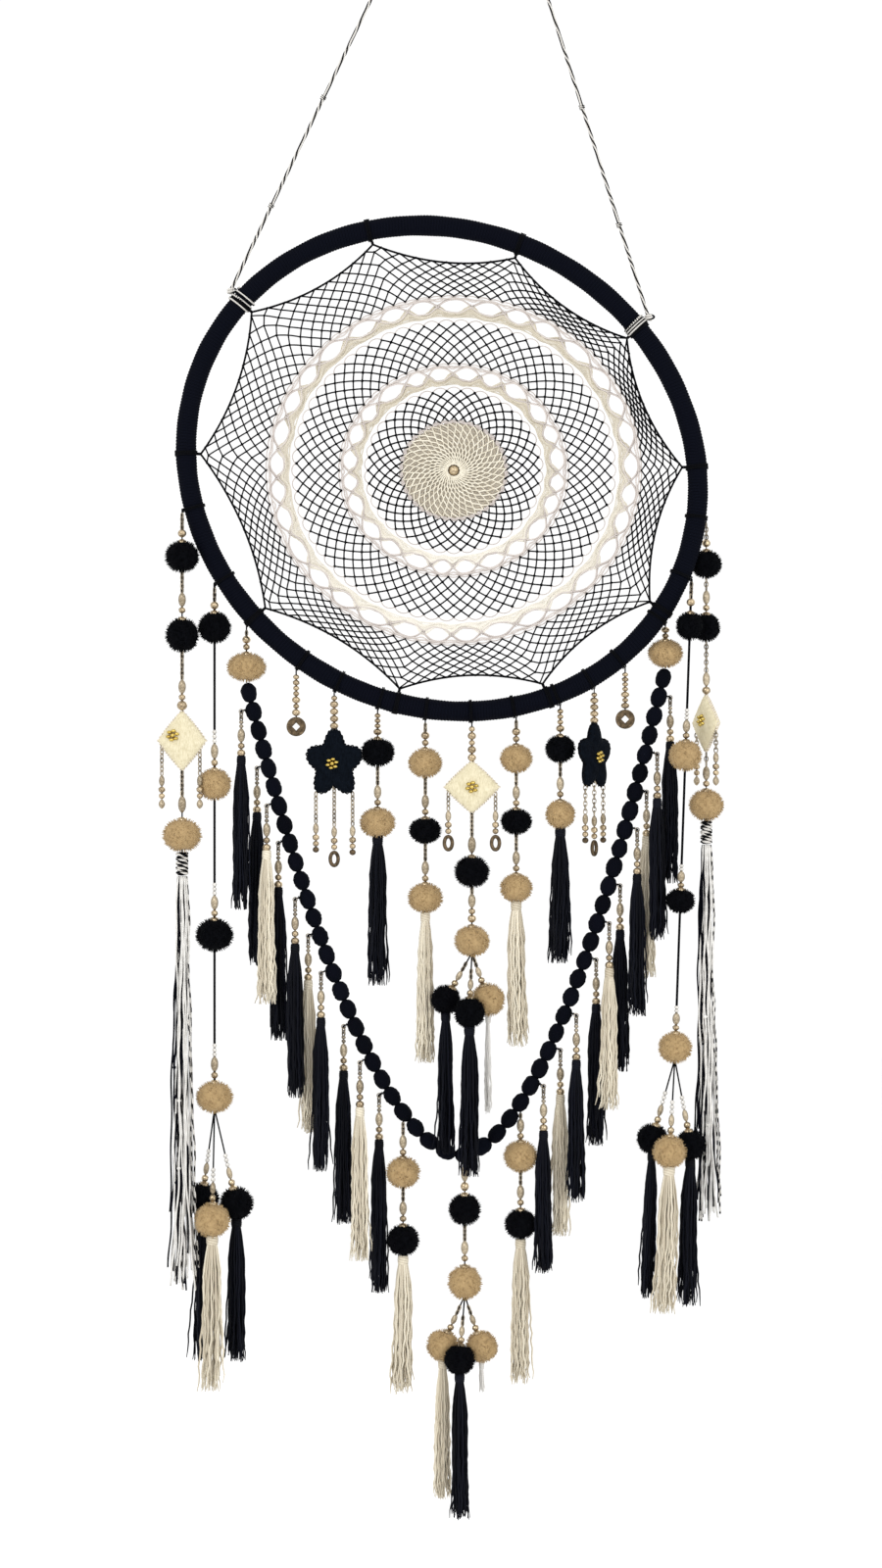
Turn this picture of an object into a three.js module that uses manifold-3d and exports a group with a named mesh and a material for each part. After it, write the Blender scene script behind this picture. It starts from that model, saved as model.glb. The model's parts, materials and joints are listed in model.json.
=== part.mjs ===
// A hanging dream catcher: a yarn-wrapped oval hoop holds a net of five rings, fifteen beaded strings
// hang from the hoop, and two of them carry a beaded swag with tassels and three strings of its own.
// Millimetres, +Z up, +Y to the back. The origin lies midway between the two rings it hangs from.
import * as THREE from "three";
import { mergeVertices } from "three/addons/utils/BufferGeometryUtils.js";
import Module from "manifold-3d";

// Driving dimensions.
const HOOP_LONG = 200.3; // half the hoop's long axis, at the middle of the tube
const HOOP_SHORT = 181.1;
const HOOP_LEAN = 150.6; // degrees from +X to the long axis
const HOOP_X = -14; // the hoop's centre, from the origin
const HOOP_DROP = 378;
const WRAP_R = 7.7; // the yarn-wrapped tube
const WRAP_WALL = 1.7;
const WRAP_SEAM = 0.6; // degrees left open where the wrapping starts and ends
const HOOP_SEAM_AT = 120;
const CORE_GAP = 0.7;
const GAP = 0.4; // between pieces that touch

const RING_R = 7; // hanging rings
const RING_WIRE_R = 1.2;
const RING_SPACING = 130.5;
const CORD_R = 1.5; // hanging cords
const EYE_R = 4.5;
const EYE_CORD_R = 1.2;
const KNOT_R = 3.2;
const LASH_LENGTH = 13;
const LASH_CLEAR = 0.9; // between the wrapped tube and the lashing's turns
const LASH_WALL = 1.4;
const LASH_ANGLES = { left: 139.9, right: 36.3 };

const WEB_X = 9; // the net's centre, from the hoop's centre
const WEB_Z = -1.5;
const WEB_SQUASH = 0.93; // the net is a little lower than wide
const WEB_THICK = 1.6;
const WEB_BEAD_R = 3.6;
const MANDALA_R = 40.5;
const INNER_LACE_R = [66, 87.4];
const OUTER_LACE_R = [121.5, 143.2];
const ANCHOR_ANGLES = [0.3, 35.2, 70.9, 107.2, 140.6, 176.6, 218.3, 259.1, 295, 327.3];
const ANCHOR_LINK = 4; // from the net's points to the hoop
const NET_EDGE_SAG = 8.5; // how far the net's edge curves in between two anchors
const LINK_WIDTH = 2.4;
const LINK_CLEAR = 3; // from a link's end to the wrapped tube, which leaves room for a lashing

const THREAD_R = 0.9;
const BEAD_R = 2.6;
const CHARM_THICK = 7;
const STAR_R = 26;
const STAR_WAIST = 0.52;
const COIN_R = 8;
const COIN_THICK = 1.8;

const SWAG_FRONT = 2.9; // the swag's front, behind the middle of the hoop
const SWAG_DROP = 362; // from the swag's left end to its lowest bead
const SWAG_LOW = 0.51; // where the lowest bead is, from left end to right end
const SWAG_POWER = 1.82; // 2 is a parabola, and less is more like a V
const SWAG_BEADS = 55;
const SWAG_BEAD_R = 5.6;
const SWAG_Y = SWAG_FRONT + SWAG_BEAD_R;
const SWAG_WAIST_R = 2.2;
const TASSEL_BEADS = [1, 4, 6, 8, 11, 13, 15, 18, 20, 22]; // counted from each end of the swag
const TASSEL_COLOURS = "bbcbbcbbcb";
const TASSEL_CHAIN = 34;
const TASSEL_LENGTHS = { left: 152, right: 143 };
const TASSEL_R = 8;
const SWAG_TASSEL_R = 6.6;
const SWAG_TASSEL_Y = 6.4; // the tassels hang in turn before and behind the swag's middle

const CORD_SIDES = 8;
const SIDES = 6;
const HOOP_STEPS = 52;
const OVAL_STEPS = 14; // points on half of each round outline

const COLOURS = {
  black: [0x0b0d15, 0.95, 0],
  tan: [0xb8945f, 0.95, 0],
  cream: [0xe9e2cf, 0.9, 0],
  ivory: [0xece3c8, 0.85, 0],
  striped: [0x8f8c88, 0.9, 0],
  steel: [0xb9bcc0, 0.3, 1],
  wood: [0x9c7a4c, 0.8, 0],
  gold: [0xc9a25a, 0.35, 1],
  bronze: [0x6b5638, 0.5, 1],
};

// What hangs on each string, by its drop in mm below its tie:
// beads [from, to], pompom [middle, radius, half height], tassel [from, to, radius].
const beads = (from, to, radius = BEAD_R) => ({ kind: "beads", from, to, radius });
const pompom = (middle, radius, half) => ({ kind: "pompom", middle, radius, half });
const tassel = (from, to, radius = TASSEL_R) => ({ kind: "tassel", from, to, radius });

const STRINGS = {
  string_01: { angle: 189, y: -9.5, run: [beads(8, 22), pompom(36.5, 12.6, 12), beads(52, 80),
    pompom(96.5, 12.4, 13), beads(113, 148), beads(206, 232), pompom(249, 14.4, 12.6),
    beads(262.5, 279, 4.9)], end: 280, diamond: [177, 18, 22.5], danglers: [-15.5, 13.5, 52] },
  string_02: { angle: 206.8, y: -1, run: [beads(6, 20), pompom(33.8, 12.2, 12), beads(112, 140),
    pompom(153.8, 12.4, 12), beads(229, 255), pompom(269, 14, 12.5), beads(352, 379),
    pompom(393, 13.6, 12)], end: 405 },
  string_03: { angle: 218.6, y: SWAG_Y, run: [beads(6, 19), pompom(32, 14.6, 11)], end: 44 },
  string_04: { angle: 234, y: 0, run: [beads(6, 34)], end: 39, coin: 44 },
  string_05: { angle: 244.3, y: -8, run: [beads(5, 28)], end: 50, star: 55,
    danglers: [-14, 0, 10, 70] },
  string_06: { angle: 255, y: 5, run: [beads(5, 20), pompom(33, 12.6, 11), beads(47, 74),
    pompom(87, 13.2, 11.4), tassel(98, 212)] },
  string_07: { angle: 266.2, y: 7, run: [beads(5, 20), pompom(33, 12.6, 11.3), beads(47, 73),
    pompom(84.8, 12, 10), beads(97, 124), pompom(136.5, 13, 11.4), tassel(149, 263, 7)] },
  string_08: { angle: 276.7, y: -9, run: [beads(5, 28), beads(70, 100), pompom(114, 13, 12),
    beads(128, 153), pompom(167, 13, 11.8)], end: 179, diamond: [49.5, 20.6, 19.5],
    danglers: [-18, 18, 49], bunch: [[-20, 212, 11, 5.5, 331, 7], [-2, 221, 11.6, -11, 346, 8],
      [12.4, 212, 12.4, 5.5, 300, 3]] },
  string_09: { angle: 286.6, y: 0, run: [beads(5, 19), pompom(31.5, 12, 10.8), beads(45, 68),
    pompom(79.5, 11.6, 10), beads(92, 118), pompom(130.5, 12, 11), tassel(142, 252)] },
  string_10: { angle: 296.6, y: 0, run: [beads(5, 21), pompom(33.8, 11.2, 10.6), beads(47, 71),
    pompom(84, 11, 11), tassel(95.5, 198)] },
  string_11: { angle: 304.7, y: 0, turn: 55, run: [beads(5, 28)], end: 48, star: 52.5,
    danglers: [-12.6, 0, 12.6, 70] },
  string_12: { angle: 312.7, y: 0, run: [beads(6, 30)], end: 35, coin: 40 },
  string_13: { angle: 325.3, y: SWAG_Y, run: [beads(3, 11), pompom(22.5, 13, 10.8)], end: 34 },
  string_14: { angle: 336, y: -7, lean: 2, run: [beads(6, 21), pompom(36, 10.4, 10.6),
    beads(99, 122), pompom(135, 12.2, 11.6), beads(220, 236), pompom(246, 11, 9.4),
    beads(330, 345), pompom(358, 12.4, 11.8)], end: 370,
    bunch: [[-14.6, 429, 11.6, 8, 551, 6], [-2, 437, 12.4, -9, 560, 9],
      [14.5, 432, 11.4, 1, 555, 7.5]] },
  string_15: { angle: 349.2, y: 10, turn: -62, run: [beads(6, 21), pompom(34, 11.4, 10.8),
    beads(47, 70), pompom(82.5, 10.4, 10.8), beads(95, 129), beads(187, 205),
    pompom(219, 12.8, 12), beads(231.5, 248, 4.6)], end: 249, diamond: [156, 18, 21.8],
    danglers: [-14, 14, 48] },
};
STRINGS.string_02.bunch = [[-10, 472, 12.6, 8, 596, 7], [-1, 486, 13, -13, 616, 9],
  [16.5, 475, 12.6, 5, 596, 8]];

// The swag's own strings, by the bead that each hangs from.
const SWAG_STRINGS = {
  swag_string_left: { bead: 23, run: [beads(5, 26), pompom(39, 12.6, 12), beads(55, 77),
    pompom(91, 12, 12), tassel(104, 209)] },
  swag_string_middle: { bead: 27, run: [beads(4, 21), pompom(35, 12, 12), beads(49, 75),
    pompom(91, 12.6, 13)], end: 104, bunch: [[-17, 140, 12, 5, 258, 6.5],
      [-4, 149, 11.6, -10, 271, 7.5], [13, 141, 12, 5, 176, 3]] },
  swag_string_right: { bead: 31, run: [beads(4, 21), pompom(34, 12.6, 12), beads(49, 72),
    pompom(86, 11.8, 11.6), tassel(99, 209)] },
};
const YARNS = {
  yarn_tassel_left: { from: "string_01", length: 318, radii: [4.6, 9.5] },
  yarn_tassel_right: { from: "string_15", length: 290, radii: [4.4, 8.8] },
};

const wasm = await Module();
wasm.setup();

const radians = THREE.MathUtils.degToRad;
const model = new THREE.Group();

function addPiece(name, geometry, colour, parent = model) {
  const [color, roughness, metalness] = COLOURS[colour];
  const material = new THREE.MeshStandardMaterial({ color, roughness, metalness });
  const piece = new THREE.Mesh(geometry, material);
  piece.name = name;
  parent.add(piece);
  return piece;
}

// A closed geometry as a manifold solid, and a manifold solid as a geometry.
function toSolid(geometry) {
  const bare = geometry.clone();
  bare.deleteAttribute("normal");
  bare.deleteAttribute("uv");
  const merged = mergeVertices(bare, 1e-3);
  return new wasm.Manifold(new wasm.Mesh({
    numProp: 3,
    vertProperties: new Float32Array(merged.attributes.position.array),
    triVerts: new Uint32Array(merged.index.array),
  }));
}

function toGeometry(solid) {
  const mesh = solid.getMesh();
  const geometry = new THREE.BufferGeometry();
  geometry.setAttribute("position", new THREE.BufferAttribute(mesh.vertProperties, 3));
  geometry.setIndex(new THREE.BufferAttribute(mesh.triVerts, 1));
  geometry.computeVertexNormals();
  return geometry;
}

const join = (geometries) =>
  toGeometry(geometries.map(toSolid).reduce((sum, solid) => sum.add(solid)));

// A body of revolution about Z from [radius, height] pairs, upper end first.
function turned(profile, sides) {
  const points = profile.map(([radius, height]) => new THREE.Vector2(radius, height)).reverse();
  return new THREE.LatheGeometry(points, sides).rotateX(Math.PI / 2);
}

// A flat outline in the XZ plane as a plate, thickness centred on Y = 0.
function plate(shape, thickness, curveSegments = 12) {
  return new THREE.ExtrudeGeometry(shape, { depth: thickness, bevelEnabled: false, curveSegments })
    .rotateX(Math.PI / 2)
    .translate(0, thickness / 2, 0);
}

// Distance from the hoop's centre to its tube's middle, plus `out`, in a direction in degrees.
function hoopRadius(angle, out = 0) {
  const t = radians(angle - HOOP_LEAN);
  return 1 / Math.hypot(Math.cos(t) / (HOOP_LONG + out), Math.sin(t) / (HOOP_SHORT + out));
}

function hoopPoint(angle, out = 0, y = 0) {
  const r = hoopRadius(angle, out);
  return new THREE.Vector3(r * Math.cos(radians(angle)), y, r * Math.sin(radians(angle)));
}

// --- Hoop: a round core inside a wrapped tube that is open at its seam. ---
class HoopCurve extends THREE.Curve {
  constructor(start, sweep) {
    super();
    this.start = start;
    this.sweep = sweep;
  }

  getPoint(t, target = new THREE.Vector3()) {
    const turn = radians(this.start + t * this.sweep);
    const x = HOOP_LONG * Math.cos(turn);
    const z = HOOP_SHORT * Math.sin(turn);
    const lean = radians(HOOP_LEAN);
    return target.set(x * Math.cos(lean) - z * Math.sin(lean), 0,
      x * Math.sin(lean) + z * Math.cos(lean));
  }
}

const hoop = new THREE.Group();
hoop.position.set(HOOP_X, 0, -HOOP_DROP);
model.add(hoop);

const coreR = WRAP_R - WRAP_WALL - CORE_GAP;
const wholeHoop = new HoopCurve(HOOP_SEAM_AT, 360);
addPiece("hoop_core", new THREE.TubeGeometry(wholeHoop, HOOP_STEPS, coreR, SIDES, true), "wood", hoop);

const wrapSection = new THREE.Shape();
wrapSection.absarc(0, 0, WRAP_R, 0, 2 * Math.PI);
const wrapBore = new THREE.Path();
wrapBore.absarc(0, 0, WRAP_R - WRAP_WALL, 0, 2 * Math.PI, true);
wrapSection.holes.push(wrapBore);
addPiece("hoop_wrap", new THREE.ExtrudeGeometry(wrapSection, {
  steps: HOOP_STEPS,
  curveSegments: 5,
  extrudePath: new HoopCurve(HOOP_SEAM_AT, 360 - WRAP_SEAM),
}), "black", hoop);

// --- Lashings: turns of cord round the hoop where the hanging cords are tied. ---
function hoopTangent(angle) {
  return hoopPoint(angle + 0.5).sub(hoopPoint(angle - 0.5)).normalize();
}

for (const [side, angle] of Object.entries(LASH_ANGLES)) {
  const inner = WRAP_R + LASH_CLEAR;
  const outer = inner + LASH_WALL;
  const half = LASH_LENGTH / 2;
  const band = turned([[inner, half], [outer - 0.5, half], [outer, half - 1], [outer, 1 - half],
    [outer - 0.5, -half], [inner, -half], [inner, half]], 12);
  const lashing = addPiece("lashing_" + side, band, "striped", hoop);
  lashing.quaternion.setFromUnitVectors(new THREE.Vector3(0, 0, 1), hoopTangent(angle));
  lashing.position.copy(hoopPoint(angle));
}

// --- Hanging rings, the knotted eyes of the cords, and the cords down to the lashings. ---
function tube(points, radius, steps, sides) {
  const section = new THREE.Shape();
  for (let i = 0; i < sides; i += 1) {
    const turn = (2 * Math.PI * i) / sides;
    const corner = [radius * Math.cos(turn), radius * Math.sin(turn)];
    if (i === 0) section.moveTo(...corner);
    else section.lineTo(...corner);
  }
  section.closePath();
  const path = new THREE.CatmullRomCurve3(points);
  return new THREE.ExtrudeGeometry(section, { steps, extrudePath: path });
}

for (const [side, sign] of [["left", -1], ["right", 1]]) {
  const ring = addPiece("hanging_ring_" + side,
    new THREE.TorusGeometry(RING_R, RING_WIRE_R, 6, 14).rotateX(Math.PI / 2), "steel");
  ring.position.x = (sign * RING_SPACING) / 2;

  const pivot = new THREE.Vector3((sign * RING_SPACING) / 2, 0, -RING_R);
  const tieOut = WRAP_R + LASH_CLEAR + LASH_WALL + CORD_R + GAP;
  const tie = hoopPoint(LASH_ANGLES[side], tieOut).add(hoop.position);
  const eyeMiddle = EYE_R - RING_WIRE_R - EYE_CORD_R - 2 * GAP;
  const eye = new THREE.TorusGeometry(EYE_R, EYE_CORD_R, 6, 10).rotateY(Math.PI / 2);
  eye.translate(0, 0, -eyeMiddle);
  const eyeBottom = pivot.clone().setZ(pivot.z - eyeMiddle - EYE_R);
  const down = tie.clone().sub(eyeBottom).normalize();
  const knotMiddle = eyeBottom.clone().addScaledVector(down, KNOT_R - 0.7);
  const knot = new THREE.SphereGeometry(KNOT_R, 8, 5);
  knot.translate(...knotMiddle.clone().sub(pivot).toArray());
  const loop = addPiece("hanging_knot_" + side, join([eye, knot]), "striped");
  loop.position.copy(pivot);

  const top = knotMiddle.clone().addScaledVector(down, KNOT_R + GAP);
  const points = [0, 0.25, 0.5, 0.75, 1].map((t) => top.clone().lerp(tie, t));
  addPiece("hanging_cord_" + side, tube(points, CORD_R, 12, CORD_SIDES), "striped");
}

// --- Net: five rings in one plane, round a bead. ---
const web = new THREE.Group();
web.position.set(WEB_X, 0, WEB_Z);
hoop.add(web);

function webOval(radius) {
  const oval = new THREE.Shape();
  oval.absellipse(0, 0, radius, radius * WEB_SQUASH, 0, 2 * Math.PI, false);
  return oval;
}

function webRing(outer, innerRadius) {
  outer.holes.push(new THREE.Path(webOval(innerRadius).getPoints(OVAL_STEPS).reverse()));
  return outer;
}

addPiece("web_bead", new THREE.SphereGeometry(WEB_BEAD_R, 10, 8), "gold", web);
const RINGS = [
  ["web_mandala", MANDALA_R, (WEB_BEAD_R + GAP) / WEB_SQUASH, "cream"],
  ["web_inner_net", INNER_LACE_R[0], MANDALA_R + GAP, "black"],
  ["web_inner_lace", INNER_LACE_R[1], INNER_LACE_R[0] + GAP, "cream"],
  ["web_middle_net", OUTER_LACE_R[0], INNER_LACE_R[1] + GAP, "black"],
  ["web_outer_lace", OUTER_LACE_R[1], OUTER_LACE_R[0] + GAP, "cream"],
];
for (const [name, outer, inner, colour] of RINGS)
  addPiece(name, plate(webRing(webOval(outer), inner), WEB_THICK, OVAL_STEPS), colour, web);

// The outermost net reaches the hoop at its anchors, and its edge curves in between them.
function anchor(angle, back) {
  const onHoop = hoopPoint(angle, -WRAP_R - GAP).sub(web.position);
  const length = Math.hypot(onHoop.x, onHoop.z);
  const scale = (length - back) / length;
  return new THREE.Vector2(onHoop.x * scale, onHoop.z * scale);
}

const edge = new THREE.Shape();
ANCHOR_ANGLES.forEach((angle, i) => {
  const next = ANCHOR_ANGLES[(i + 1) % ANCHOR_ANGLES.length];
  const across = new THREE.Vector2(-Math.sin(radians(angle)), Math.cos(radians(angle)));
  const beside = (back, sign) =>
    anchor(angle, back).addScaledVector(across, (sign * LINK_WIDTH) / 2);
  const corners = [beside(ANCHOR_LINK, -1), beside(LINK_CLEAR, -1), beside(LINK_CLEAR, 1),
    beside(ANCHOR_LINK, 1)];
  corners.forEach((p, k) => (i + k === 0 ? edge.moveTo(p.x, p.y) : edge.lineTo(p.x, p.y)));
  const nextAcross = new THREE.Vector2(-Math.sin(radians(next)), Math.cos(radians(next)));
  const goal = anchor(next, ANCHOR_LINK).addScaledVector(nextAcross, -LINK_WIDTH / 2);
  const middle = corners[3].clone().add(goal).multiplyScalar(0.5);
  const pull = middle.clone().multiplyScalar(1 - (2 * NET_EDGE_SAG) / middle.length());
  for (let k = 1; k < 5; k += 1) {
    const t = k / 5;
    const p = corners[3].clone().multiplyScalar((1 - t) ** 2)
      .addScaledVector(pull, 2 * t * (1 - t)).addScaledVector(goal, t * t);
    edge.lineTo(p.x, p.y);
  }
});
edge.closePath();
addPiece("web_outer_net", plate(webRing(edge, OUTER_LACE_R[1] + GAP), WEB_THICK, OVAL_STEPS), "black", web);

// --- Strings. ---
// A thread with its beads, pompoms and tassels is one body of revolution, its top at Z = 0.
function strung(run, end, sides = SIDES) {
  const profile = [[0, 0], [THREAD_R, 0]];
  for (const item of run) {
    const r = item.radius;
    if (item.kind === "beads") {
      profile.push([THREAD_R, -item.from], [r, -item.from - 1.5], [r, 1.5 - item.to],
        [THREAD_R, -item.to]);
    } else if (item.kind === "pompom") {
      for (const [wide, high] of [[0.07, 1], [0.8, 0.7], [1, 0], [0.8, -0.7], [0.07, -1]])
        profile.push([Math.max(THREAD_R, wide * r), high * item.half - item.middle]);
    } else {
      profile.push([THREAD_R, -item.from], [0.5 * r, -item.from - 2],
        [0.9 * r, -item.from - 26], [r, -item.to], [0, -item.to]);
    }
  }
  if (end) profile.push([THREAD_R, -end], [0, -end]);
  return turned(profile, sides);
}

const starOutline = () => {
  const star = new THREE.Shape();
  for (let i = 0; i < 10; i += 1) {
    const turn = Math.PI / 2 + (i * Math.PI) / 5;
    const r = i % 2 ? STAR_R * STAR_WAIST : STAR_R;
    const corner = [r * Math.cos(turn), r * Math.sin(turn)];
    if (i === 0) star.moveTo(...corner);
    else star.lineTo(...corner);
  }
  star.closePath();
  return star;
};

const diamondOutline = (halfWidth, halfHeight) => {
  const diamond = new THREE.Shape();
  diamond.moveTo(halfWidth, 0);
  diamond.lineTo(0, halfHeight);
  diamond.lineTo(-halfWidth, 0);
  diamond.lineTo(0, -halfHeight);
  diamond.closePath();
  return diamond;
};

// A bunch fans out from the end of its string: thread, beads, pompom and tassel on each branch.
// Each branch is [sideways, drop, pompom radius, back, tassel end, tassel radius].
function branch([aside, drop, radius, back, tasselEnd, tasselR], start) {
  const top = new THREE.Vector3(0, 0, -start);
  const middle = new THREE.Vector3(aside, back, -drop);
  const reach = top.distanceTo(middle);
  const thread = strung([beads(Math.max(2, reach - radius - 22), reach - radius + 1, BEAD_R)],
    reach, SIDES);
  const slant = new THREE.Quaternion().setFromUnitVectors(new THREE.Vector3(0, 0, -1),
    middle.clone().sub(top).normalize());
  thread.applyQuaternion(slant).translate(0, 0, -start);
  const low = strung([pompom(radius + 1, radius, radius),
    tassel(2 * radius, tasselEnd - drop + radius, tasselR)], 0, SIDES);
  return [thread, low.translate(aside, back, radius + 1 - drop)];
}

function stringGeometry({ run, end, coin, star, diamond, danglers, turn = 0, bunch }) {
  const parts = [strung(run, end)];
  if (coin) {
    const disc = new THREE.Shape();
    disc.absarc(0, 0, COIN_R, 0, 2 * Math.PI);
    const hole = COIN_R * 0.28;
    disc.holes.push(new THREE.Path([[-1, -1], [-1, 1], [1, 1], [1, -1]].map(([x, y]) =>
      new THREE.Vector2(hole * x, hole * y))));
    parts.push(plate(disc, COIN_THICK, 10).translate(0, 0, -coin));
  }
  if (star) parts.push(plate(starOutline(), CHARM_THICK).translate(0, 0, -star));
  if (diamond) {
    const [middle, halfWidth, halfHeight] = diamond;
    const charm = plate(diamondOutline(halfWidth, halfHeight), CHARM_THICK);
    parts.push(charm.translate(0, 0, -middle));
    const through = middle + halfHeight;
    parts.push(strung([], through + 60, SIDES));
  }
  if (danglers) {
    const places = danglers.slice(0, -1);
    const length = danglers[danglers.length - 1];
    for (const x of places) {
      const middle = star || diamond[0];
      const dangler = strung([beads(24, length, 1.8)], length + 1, SIDES);
      parts.push(dangler.translate(x, 0, -middle));
    }
  }
  if (bunch) parts.push(...bunch.flatMap((spec) => branch(spec, end - 1)));
  return join(parts).rotateZ(radians(turn));
}

// How far the middle of the tube is from the hoop's upright axis, at a height; 0 where there is no tube.
function hoopSide(height, sign) {
  const lean = radians(HOOP_LEAN);
  const [c, s] = [Math.cos(lean), Math.sin(lean)];
  const squares = [(c / HOOP_LONG) ** 2 + (s / HOOP_SHORT) ** 2,
    2 * c * s * (HOOP_LONG ** -2 - HOOP_SHORT ** -2) * height,
    ((s / HOOP_LONG) ** 2 + (c / HOOP_SHORT) ** 2) * height ** 2 - 1];
  const inside = squares[1] ** 2 - 4 * squares[0] * squares[2];
  return inside < 0 ? 0 : (sign * -squares[1] + Math.sqrt(inside)) / (2 * squares[0]);
}

// A string beside the hoop hangs far enough before or behind it for its pompoms to pass.
function hangingDepth({ angle, y, run }) {
  const tie = hoopPoint(angle, WRAP_R + 2 * GAP);
  const sign = Math.sign(tie.x);
  const depths = run.filter(({ kind }) => kind === "pompom").map(({ middle, radius }) => {
    const side = hoopSide(tie.z - middle, sign);
    const beside = Math.abs(tie.x) - side;
    return side ? Math.sqrt(Math.max(0, (WRAP_R + radius + GAP) ** 2 - beside ** 2)) : 0;
  });
  return (y < 0 ? -1 : 1) * Math.max(Math.abs(y), ...depths);
}

const ties = {};
for (const [name, string] of Object.entries(STRINGS)) {
  const tie = hoopPoint(string.angle, WRAP_R + 2 * GAP, hangingDepth(string));
  ties[name] = tie;
  const piece = addPiece(name, stringGeometry(string), "tan", hoop);
  piece.position.copy(tie);
  piece.rotation.y = radians(string.lean || 0);
}

for (const [name, { from, length, radii }] of Object.entries(YARNS)) {
  const { end } = STRINGS[from];
  const [top, bottom] = radii;
  const yarn = turned([[0, 0], [top, 0], [0.8 * bottom, -0.15 * length], [bottom, -length],
    [0, -length]], SIDES);
  const piece = addPiece(name, yarn, "striped", hoop);
  piece.position.copy(ties[from]).add(new THREE.Vector3(0, 0, -end - GAP));
}

// --- Swag: covered beads on a cord between the pompoms of two strings. ---
function stringEnd(name) {
  return ties[name].clone().add(new THREE.Vector3(0, 0, -STRINGS[name].end - GAP));
}

class SwagCurve extends THREE.Curve {
  constructor(left, right) {
    super();
    this.left = left;
    this.right = right;
  }

  getPoint(t, target = new THREE.Vector3()) {
    const low = this.left.z - SWAG_DROP;
    const reach = t < SWAG_LOW ? (SWAG_LOW - t) / SWAG_LOW : (t - SWAG_LOW) / (1 - SWAG_LOW);
    const top = t < SWAG_LOW ? this.left.z : this.right.z;
    return target.set(THREE.MathUtils.lerp(this.left.x, this.right.x, t), SWAG_Y,
      low + (top - low) * reach ** SWAG_POWER);
  }
}

const swagCurve = new SwagCurve(stringEnd("string_03"), stringEnd("string_13"));
swagCurve.arcLengthDivisions = 800;
const beadPoint = (index) => swagCurve.getPointAt((index + 0.5) / SWAG_BEADS);

// The swag is a tube whose radius swells at each bead.
function swagGeometry() {
  const radii = [SWAG_WAIST_R, SWAG_BEAD_R];
  const steps = SWAG_BEADS * radii.length;
  const positions = [];
  const index = [];
  const backwards = new THREE.Vector3(0, 1, 0);
  for (let i = 0; i <= steps; i += 1) {
    const middle = swagCurve.getPointAt(i / steps);
    const across = swagCurve.getTangentAt(i / steps).cross(backwards);
    const r = radii[i % radii.length];
    for (let k = 0; k < SIDES; k += 1) {
      const turn = (2 * Math.PI * k) / SIDES;
      const p = middle.clone().addScaledVector(across, r * Math.cos(turn))
        .addScaledVector(backwards, r * Math.sin(turn));
      positions.push(p.x, p.y, p.z);
      if (i === steps) continue;
      const [a, b] = [i * SIDES + k, i * SIDES + ((k + 1) % SIDES)];
      index.push(a, a + SIDES, b, b, a + SIDES, b + SIDES);
    }
  }
  const last = steps * SIDES;
  for (let k = 1; k < SIDES - 1; k += 1)
    index.push(0, k, k + 1, last, last + k + 1, last + k);
  const geometry = new THREE.BufferGeometry();
  geometry.setAttribute("position", new THREE.Float32BufferAttribute(positions, 3));
  geometry.setIndex(index);
  geometry.computeVertexNormals();
  return geometry;
}
addPiece("swag", swagGeometry(), "black", hoop);

// Each tassel hangs on a short beaded chain at the outer side of its bead.
const colourOf = { b: "black", c: "cream" };
for (const [side, sign] of [["left", -1], ["right", 1]]) {
  TASSEL_BEADS.forEach((bead, i) => {
    const index = sign < 0 ? bead : SWAG_BEADS - 1 - bead;
    const at = (index + 0.5) / SWAG_BEADS;
    const slope = swagCurve.getTangentAt(at);
    const clear = SWAG_BEAD_R / Math.abs(slope.z) + BEAD_R + 2 * GAP;
    const length = TASSEL_LENGTHS[side];
    const drop = strung([beads(3, TASSEL_CHAIN - 2), tassel(TASSEL_CHAIN, length, SWAG_TASSEL_R)],
      0);
    const name = `swag_tassel_${side}_${String(i + 1).padStart(2, "0")}`;
    const piece = addPiece(name, drop, colourOf[TASSEL_COLOURS[i]], hoop);
    const before = i % 2 ? -sign : sign;
    piece.position.copy(swagCurve.getPointAt(at));
    piece.position.add(new THREE.Vector3(sign * clear, before * SWAG_TASSEL_Y, 0));
  });
}

for (const [name, string] of Object.entries(SWAG_STRINGS)) {
  const piece = addPiece(name, stringGeometry(string), "tan", hoop);
  piece.position.copy(beadPoint(string.bead)).add(new THREE.Vector3(0, 0, -SWAG_BEAD_R - 4 * GAP));
}

export default model;
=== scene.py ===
import json
import math

import bpy
import numpy as np
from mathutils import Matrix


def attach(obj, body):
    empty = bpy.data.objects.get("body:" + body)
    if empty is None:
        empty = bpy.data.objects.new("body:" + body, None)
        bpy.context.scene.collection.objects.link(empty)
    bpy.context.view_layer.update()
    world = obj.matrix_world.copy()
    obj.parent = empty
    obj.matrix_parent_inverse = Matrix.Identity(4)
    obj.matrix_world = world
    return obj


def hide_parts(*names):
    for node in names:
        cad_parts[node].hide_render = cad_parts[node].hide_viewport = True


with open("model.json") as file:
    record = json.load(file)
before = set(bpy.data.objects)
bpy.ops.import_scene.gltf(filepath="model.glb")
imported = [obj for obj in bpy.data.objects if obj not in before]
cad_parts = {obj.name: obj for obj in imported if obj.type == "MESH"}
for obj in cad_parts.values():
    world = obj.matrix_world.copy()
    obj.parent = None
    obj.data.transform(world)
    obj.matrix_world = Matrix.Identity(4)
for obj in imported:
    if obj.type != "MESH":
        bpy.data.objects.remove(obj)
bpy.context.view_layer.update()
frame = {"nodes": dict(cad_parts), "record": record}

MM = 0.001
draw = np.random.default_rng(11)
TURN = 2 * math.pi
GOLDEN_TURN = 2.39996  # radians from one strand of a bundle to the next

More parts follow.
